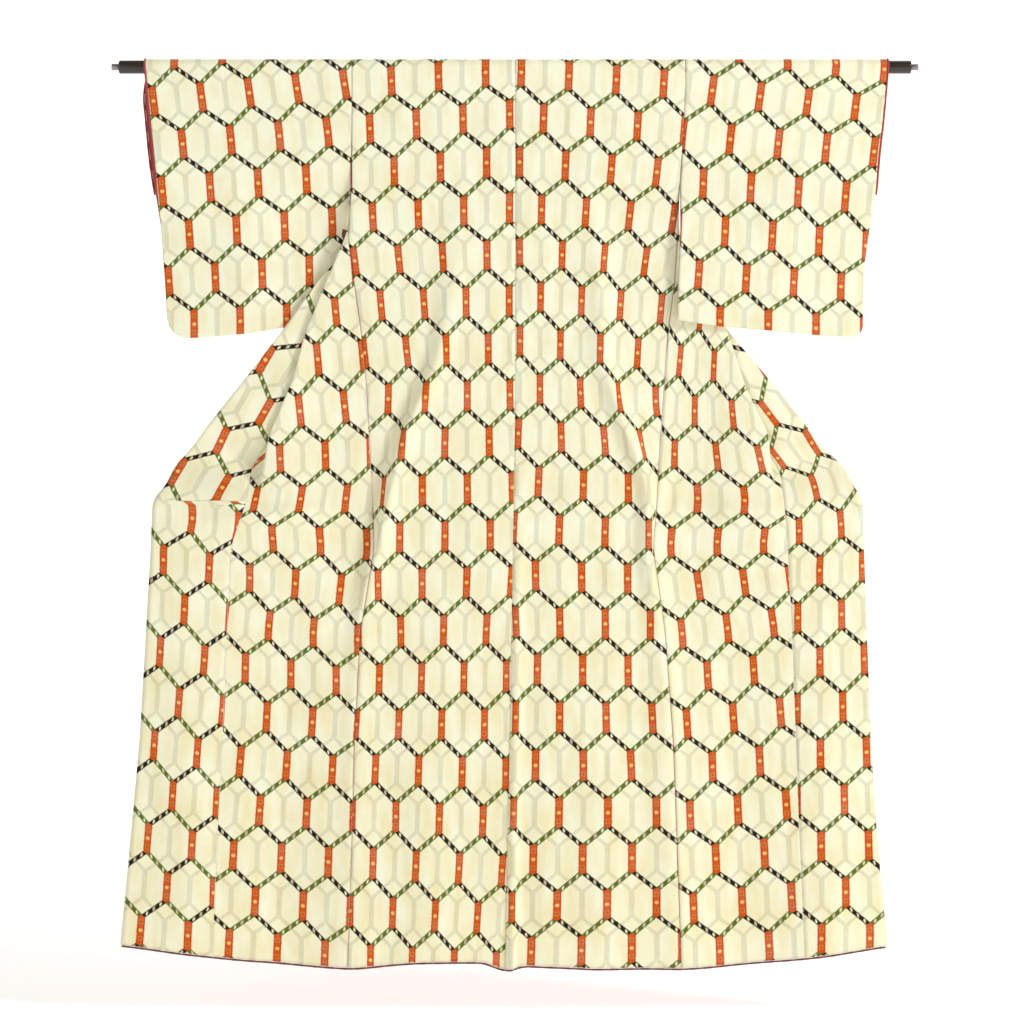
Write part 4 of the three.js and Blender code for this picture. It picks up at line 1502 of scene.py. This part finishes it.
def stitch_tree(material: bpy.types.Material) -> bpy.types.NodeTree:
    """Builds the node tree that lays stitches along a line.

    Args:
        material: the thread's finish.

    Returns:
        A geometry node group with inputs for pitch, length and radius.
    """
    tree = bpy.data.node_groups.new("running stitch", "GeometryNodeTree")
    tree.interface.new_socket(name="Geometry", in_out="INPUT", socket_type="NodeSocketGeometry")
    for label, value in (("Pitch", 0.02), ("Length", 0.0016), ("Radius", 0.00022)):
        socket = tree.interface.new_socket(name=label, in_out="INPUT", socket_type="NodeSocketFloat")
        socket.default_value = value
    tree.interface.new_socket(name="Geometry", in_out="OUTPUT", socket_type="NodeSocketGeometry")
    w = NodeWriter(tree)
    i, o = tree.nodes.new("NodeGroupInput"), tree.nodes.new("NodeGroupOutput")
    curve = w.node("GeometryNodeMeshToCurve")
    w.feed(curve.inputs[0], i.outputs["Geometry"])
    spaced = w.node("GeometryNodeResampleCurve", mode="LENGTH")
    w.feed(spaced.inputs["Curve"], curve.outputs[0])
    w.feed(spaced.inputs["Length"], i.outputs["Pitch"])
    along = w.node("GeometryNodeInputTangent")
    align = w.node("FunctionNodeAlignRotationToVector", axis="Z")
    w.feed(align.inputs["Vector"], along.outputs[0])
    thread = w.node("GeometryNodeMeshUVSphere")
    thread.inputs["Segments"].default_value = 8
    thread.inputs["Rings"].default_value = 6
    thread.inputs["Radius"].default_value = 1.0
    size = w.node("ShaderNodeCombineXYZ")
    w.feed(size.inputs[0], i.outputs["Radius"])
    w.feed(size.inputs[1], i.outputs["Radius"])
    w.feed(size.inputs[2], w.maths("MULTIPLY", i.outputs["Length"], 0.5))
    place = w.node("GeometryNodeInstanceOnPoints")
    w.feed(place.inputs["Points"], spaced.outputs[0])
    w.feed(place.inputs["Instance"], thread.outputs[0])
    w.feed(place.inputs["Rotation"], align.outputs[0])
    w.feed(place.inputs["Scale"], size.outputs[0])
    real = w.node("GeometryNodeRealizeInstances")
    w.feed(real.inputs[0], place.outputs[0])
    shade = w.node("GeometryNodeSetShadeSmooth")
    w.feed(shade.inputs[0], real.outputs[0])
    dress = w.node("GeometryNodeSetMaterial")
    w.feed(dress.inputs["Geometry"], shade.outputs[0])
    dress.inputs["Material"].default_value = material
    w.feed(o.inputs[0], dress.outputs[0])
    return tree


def stitches(name: str, line: np.ndarray, tree: bpy.types.NodeTree, pitch: float,
             length: float) -> bpy.types.Object:
    """Lays a run of stitches along a line and turns it into a plain mesh.

    Args:
        name: the object's name.
        line: the points of the run, mm.
        tree: the stitch tree.
        pitch: the distance between stitches, mm.
        length: one stitch's length, mm.

    Returns:
        The object.
    """
    mesh = bpy.data.meshes.new(name + "_line")
    mesh.from_pydata((line * MM).tolist(), [(k, k + 1) for k in range(len(line) - 1)], [])
    carrier = linked(name + "_line", mesh)
    modifier = carrier.modifiers.new("stitch", "NODES")
    modifier.node_group = tree
    wanted = {"Pitch": pitch * MM, "Length": length * MM}
    for item in tree.interface.items_tree:
        if item.item_type == "SOCKET" and item.in_out == "INPUT" and item.name in wanted:
            modifier[item.identifier] = wanted[item.name]
    made = bpy.data.meshes.new_from_object(carrier.evaluated_get(bpy.context.evaluated_depsgraph_get()))
    bpy.data.objects.remove(carrier)
    made.name = name
    return linked(name, made)


def turned_piece(name: str, profile: Sequence[tuple[float, float]], material: bpy.types.Material,
                 sides: int) -> bpy.types.Object:
    """Turns a profile round the X axis.

    Args:
        name: the object's name.
        profile: place along X and radius, mm, from end to end, starting and ending on the axis.
        material: its finish.
        sides: the number of sides.

    Returns:
        The object.
    """
    bm = bmesh.new()
    line = [bm.verts.new((x * MM, 0, radius * MM)) for x, radius in profile]
    edges = [bm.edges.new(pair) for pair in zip(line, line[1:])]
    bmesh.ops.spin(bm, geom=[*line, *edges], axis=(1, 0, 0), cent=(0, 0, 0), steps=sides, angle=2 * math.pi)
    bmesh.ops.remove_doubles(bm, verts=bm.verts, dist=1e-6)
    for f in bm.faces:
        f.smooth = True
    mesh = bpy.data.meshes.new(name)
    bm.to_mesh(mesh)
    bm.free()
    mesh.materials.append(material)
    made = finished(mesh, name)
    sharp = made.modifiers.new("bevel", "BEVEL")
    sharp.width = 0.0003
    sharp.segments = 2
    sharp.limit_method = "ANGLE"
    sharp.angle_limit = math.radians(40)
    return made


@dataclass
class Pole:
    """The pole that goes through both sleeves, with its two tips."""

    radius: float = POLE_RADIUS
    half: float = POLE_HALF

    def build(self, cloths: Cloths) -> list[tuple[bpy.types.Object, str, str]]:
        """Builds the pole and its tips.

        Args:
            cloths: the finishes.

        Returns:
            Each piece with the CAD node it stands for and its slot.
        """
        r, h = self.radius, self.half
        end = [(h - 3, r), (h - 1.8, r - 0.2), (h - 0.8, r - 0.7), (h - 0.3, r - 1.4), (h, r - 2.5), (h, 0)]
        body = turned_piece("pole_round", [
            *((-x, radius) for x, radius in reversed(end)),
            *((x, r) for x in np.linspace(-h + 40, h - 40, 24)),
            *end,
        ], cloths.lacquer, sides=64)
        found = [(body, "pole", "pole")]
        for side in Side:
            label = side.name.lower()
            a, b = sorted((side.value * (h + TIP_GAP), side.value * (h + TIP_GAP + TIP_LENGTH)))
            profile = [(a, 0), (a, TIP_RADIUS), (b, TIP_RADIUS), (b, 0)]
            tip = turned_piece(f"pole_tip_{label}", profile, cloths.steel, sides=40)
            found.append((tip, f"tip_{label}", "tips"))
        return found


class Studio:
    """The camera, the lights and the pale floor and wall."""

    FLOOR = -1.672
    EYE = (-0.0088, -5.0, -0.7814)
    MIDDLE = (0, 0, -0.8)

    def build(self) -> None:
        """Builds everything that isn't the object."""
        scene = bpy.context.scene
        camera = bpy.data.cameras.new("camera")
        camera.sensor_width = 36
        camera.lens = 36 * 4.988 / 1.7952
        scene.camera = linked("camera", camera)
        scene.camera.matrix_world = Matrix.Translation(self.EYE) @ Matrix.Rotation(math.pi / 2, 4, "X")
        scene.view_settings.view_transform = "Standard"
        world = bpy.data.worlds.new("studio")
        world.use_nodes = True
        sky = world.node_tree.nodes["Background"]
        sky.inputs["Color"].default_value = (1, 0.99, 0.97, 1)
        sky.inputs["Strength"].default_value = 0.255
        scene.world = world
        self.lamp("key", (5.6, -4.0, 2.6), self.MIDDLE, size=1.7, power=322)
        self.lamp("fill", (-4.4, -5.4, 0.6), self.MIDDLE, size=3.4, power=90)
        self.lamp("rear", (0.4, 1.1, 1.6), (0, 2.2, -0.9), size=1.8, power=24)
        self.backdrop()

    def lamp(self, name: str, place: tuple[float, float, float], at: tuple[float, float, float],
             size: float, power: float) -> None:
        """Adds a square soft light that looks at a point.

        Args:
            name: its name.
            place: where it stands, m.
            at: what it looks at, m.
            size: its side, m.
            power: its power, W.
        """
        light = bpy.data.lights.new(name, "AREA")
        light.size = size
        light.energy = power
        light.color = (1, 0.985, 0.96)
        turn = (Vector(at) - Vector(place)).to_track_quat("-Z", "Y").to_matrix().to_4x4()
        linked(name, light).matrix_world = Matrix.Translation(place) @ turn

    def backdrop(self) -> None:
        """Adds the plain pale floor, which turns up into a wall behind."""
        bend, wall, top = 0.9, 2.6, 3.4
        line = [(-7.0, self.FLOOR), (wall - bend, self.FLOOR)]
        for k in range(1, 17):
            a = k / 16 * math.pi / 2
            line.append((wall - bend + bend * math.sin(a), self.FLOOR + bend * (1 - math.cos(a))))
        line.append((wall, top))
        points = [(x, y, z) for x in (-8.0, 8.0) for y, z in line]
        n = len(line)
        mesh = bpy.data.meshes.new("floor")
        mesh.from_pydata(points, [], [(k, n + k, n + k + 1, k + 1) for k in range(n - 1)])
        mesh.polygons.foreach_set("use_smooth", [True] * (n - 1))
        material, w, shader = new_finish("pale floor")
        shader.inputs["Base Color"].default_value = (0.9, 0.9, 0.89, 1)
        shader.inputs["Roughness"].default_value = 0.9
        shader.inputs["Emission Color"].default_value = (1, 1, 0.99, 1)
        shader.inputs["Emission Strength"].default_value = 0.32
        # Seen from behind, the wall lets the view through to the garment's other side.
        through = w.node("ShaderNodeMixShader")
        w.feed(through.inputs[0], w.node("ShaderNodeNewGeometry").outputs["Backfacing"])
        w.feed(through.inputs[1], shader.outputs[0])
        w.feed(through.inputs[2], w.node("ShaderNodeBsdfTransparent").outputs[0])
        w.feed(material.node_tree.nodes["Material Output"].inputs["Surface"], through.outputs[0])
        mesh.materials.append(material)
        linked("floor", mesh)


LEFT_LEAN = [LeanLevel(*r) for r in ((-1600, 0), (-766.5, 0), (-765, 30), (-270, 30))]
RIGHT_LEAN = [LeanLevel(*r) for r in (
    (-1600, 0), (-900, 2), (-740, 14), (-660, 26), (-560, 31), (-270, 33),
)]
LAY = {name: [LayLevel(*r) for r in rows] for name, rows in {
    "left_back": (
        (-5, 32, 36, 7, 36), (-130, 33, 42, 0, 33), (-260, 32, 47, 2, 23), (-400, 31, 63, 1, 11),
        (-550, 32, 72, 2, 11), (-700, 38, 59, 0, 11), (-850, 42, 60, 0, 9), (-1050, 33, 74, 2, 10),
        (-1300, 36, 65, 12, -3), (-1560, 24, 66, 21, 4),
    ),
    "right_back": (
        (-5, 31, 32, 93, 119), (-130, 34, 41, 87, 112), (-260, 34, 59, 85, 106),
        (-400, 32, 82, 73, 102), (-550, 32, 91, 70, 101), (-700, 37, 61, 69, 94),
        (-850, 42, 54, 71, 85), (-1050, 30, 48, 72, 77), (-1300, 31, 25, 79, 77),
        (-1560, 30, 14, 80, 65),
    ),
    "left_front": (
        (-320, 8, 11, 31, 14), (-400, 3, 11, 24, 20), (-480, -1, 11, 15, 26),
        (-560, -1, 11, 16, 35), (-640, 2, 14, 20, 40), (-720, -1, 13, 20, 31),
        (-770, -8, 4, 19, 19), (-820, -13, -10, 18, 8), (-950, -8, 6, 23, -8),
        (-1150, 5, 14, 11, -13), (-1350, 2, 4, 3, -10), (-1560, 2, 1, 6, -21),
    ),
    "right_front": (
        (-320, 16, 98, 98, 130), (-400, 11, 96, 99, 132), (-480, 8, 93, 101, 133),
        (-560, 11, 82, 105, 131), (-640, 13, 58, 107, 124), (-720, 12, 28, 101, 113),
        (-770, 10, 15, 98, 107), (-820, 10, 17, 98, 97), (-950, 10, 19, 98, 75),
        (-1150, 15, 19, 90, 65), (-1350, 18, 15, 86, 63), (-1560, 18, 11, 84, 61),
    ),
    "left_okumi": (
        (-480, 10, -7, 45, 33), (-600, 7, 1, 38, 43), (-700, 7, 9, 26, 50), (-764, 8, 16, 16, 53),
        (-770, 23, 27, 71, 36), (-850, 40, 47, 67, 31), (-1000, 39, 53, 64, 26),
        (-1250, 31, 51, 62, 28), (-1560, 35, 33, 50, 30),
    ),
    "right_okumi": (
        (-480, 59, 75, 48, 54), (-600, 61, 85, 57, 54), (-700, 63, 93, 65, 54),
        (-764, 67, 99, 67, 53), (-770, 68, 100, 67, 53), (-850, 77, 104, 65, 51),
        (-1000, 89, 107, 61, 51), (-1250, 100, 105, 56, 52), (-1560, 108, 103, 51, 53),
    ),
    "left_sleeve": (
        (-5, -9, -10, 114, 147), (-150, 11, 5, 112, 141), (-300, 14, 16, 103, 136),
        (-440, 14, 26, 107, 128),
    ),
    "right_sleeve": (
        (-5, 28, 24, 117, 170), (-150, 45, 42, 121, 151), (-300, 52, 56, 120, 154),
        (-440, 62, 60, 115, 140),
    ),
}.items()}


class Kimono:
    """The whole garment, piece by piece."""

    def __init__(self) -> None:
        """Sets up every piece with its sizes and the way the pattern lies on it."""
        self.bodies = {
            Side.LEFT: Body(Side.LEFT, LAY["left_back"], LAY["left_front"]),
            Side.RIGHT: Body(Side.RIGHT, LAY["right_back"], LAY["right_front"]),
        }
        self.okumi = {
            Side.LEFT: FrontPanel(Side.LEFT, LAY["left_okumi"], LEFT_LEAN, mirrored=True),
            Side.RIGHT: FrontPanel(Side.RIGHT, LAY["right_okumi"], RIGHT_LEAN, mirrored=False),
        }
        self.sleeves = {
            Side.LEFT: Sleeve(Side.LEFT, LEFT_SLEEVE, LEFT_BOTTOM, swing=22.5, corner=36, far_wider=10,
                              lay=LAY["left_sleeve"]),
            Side.RIGHT: Sleeve(Side.RIGHT, RIGHT_SLEEVE, RIGHT_BOTTOM, swing=-21, corner=20, far_wider=3,
                               lay=LAY["right_sleeve"]),
        }
        self.collar = Collar()

    def ride(self, piece: bpy.types.Object, slot: str, *nodes: str) -> None:
        """Ties a piece to the frame.

        Args:
            piece: the piece.
            slot: a material slot; not used.
            nodes: the CAD nodes it stands for.
        """
        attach(piece, "root")
        if nodes:
            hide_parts(*nodes)
        LOG.info("%s: %d faces", piece.name, len(piece.data.polygons))

    def build(self, cloths: Cloths) -> None:
        """Builds every piece and ties it to the frame.

        Args:
            cloths: the finishes.
        """
        tree = stitch_tree(cloths.thread)
        for side in Side:
            label = side.name.lower()
            body = self.bodies[side].grid().shell(
                f"body_{label}_cloth", WALL, cloths.kasuri, cloths.lining, flip=side is Side.LEFT)
            self.ride(body, "cloth", f"body_{label}")
            okumi = self.okumi[side].grid().shell(
                f"okumi_{label}_cloth", WALL, cloths.kasuri, cloths.lining, flip=side is Side.RIGHT)
            self.ride(okumi, "cloth", f"okumi_{label}")
            sleeve = self.sleeves[side].grid().shell(
                f"sleeve_{label}_cloth", WALL, cloths.kasuri, cloths.lining, flip=side is Side.RIGHT)
            self.ride(sleeve, "cloth", f"sleeve_{label}")
            # The hem roll takes the darkened lining copy as painted shade.
            hem = tube(f"hem_roll_{label}_cloth", hem_line(side), ROLL_RADIUS, cloths.roll)
            self.ride(hem, "lining", f"hem_roll_{label}")
            cuff = tube(
                f"cuff_roll_{label}_cloth", cuff_line(self.sleeves[side]), ROLL_RADIUS, cloths.lining)
            self.ride(cuff, "lining", f"cuff_roll_{label}")
        # The peeping lining takes the darkened lining copy as painted shade for the armhole gap.
        peep = armhole_lining().shell("left_armhole_lining", PEEP_WALL, cloths.roll, cloths.roll)
        self.ride(peep, "lining")
        band, cover = self.collar.grids()
        middle = len(band.points) // 2
        for side, rows in ((Side.LEFT, slice(0, middle + 1)), (Side.RIGHT, slice(middle, None))):
            half = Grid(band.points[rows].copy(), band.cloth[rows])
            half.points[-1 if side is Side.LEFT else 0, :, 0] += side.value * SEAM
            label = side.name.lower()
            collar = half.shell(f"collar_{label}_cloth", BAND_WALL, cloths.kasuri, cloths.kasuri)
            self.ride(collar, "cloth", f"collar_{label}")
        over = cover.shell("over_collar_cloth", COVER_WALL, cloths.kasuri, cloths.kasuri)
        self.ride(over, "cloth", "over_collar")
        top = cover.lifted(0.7).points[2:-2]
        lines = (top[:, 0] * 0.93 + top[:, 1] * 0.07, top[:, -1] * 0.93 + top[:, -2] * 0.07)
        runs = [
            stitches(f"over_collar_stitches_{k}", line, tree, pitch=12, length=1.8)
            for k, line in enumerate(lines)
        ]
        for run in runs:
            self.ride(run, "cloth")
        for piece, node, slot in Pole().build(cloths):
            self.ride(piece, slot, node)


def main() -> None:
    """Builds the studio and the kimono."""
    logging.basicConfig(level=logging.INFO, format="%(name)s: %(message)s")
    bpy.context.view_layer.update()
    Studio().build()
    Kimono().build(Cloths())
    bpy.context.view_layer.update()


if __name__ == "__main__":
    main()
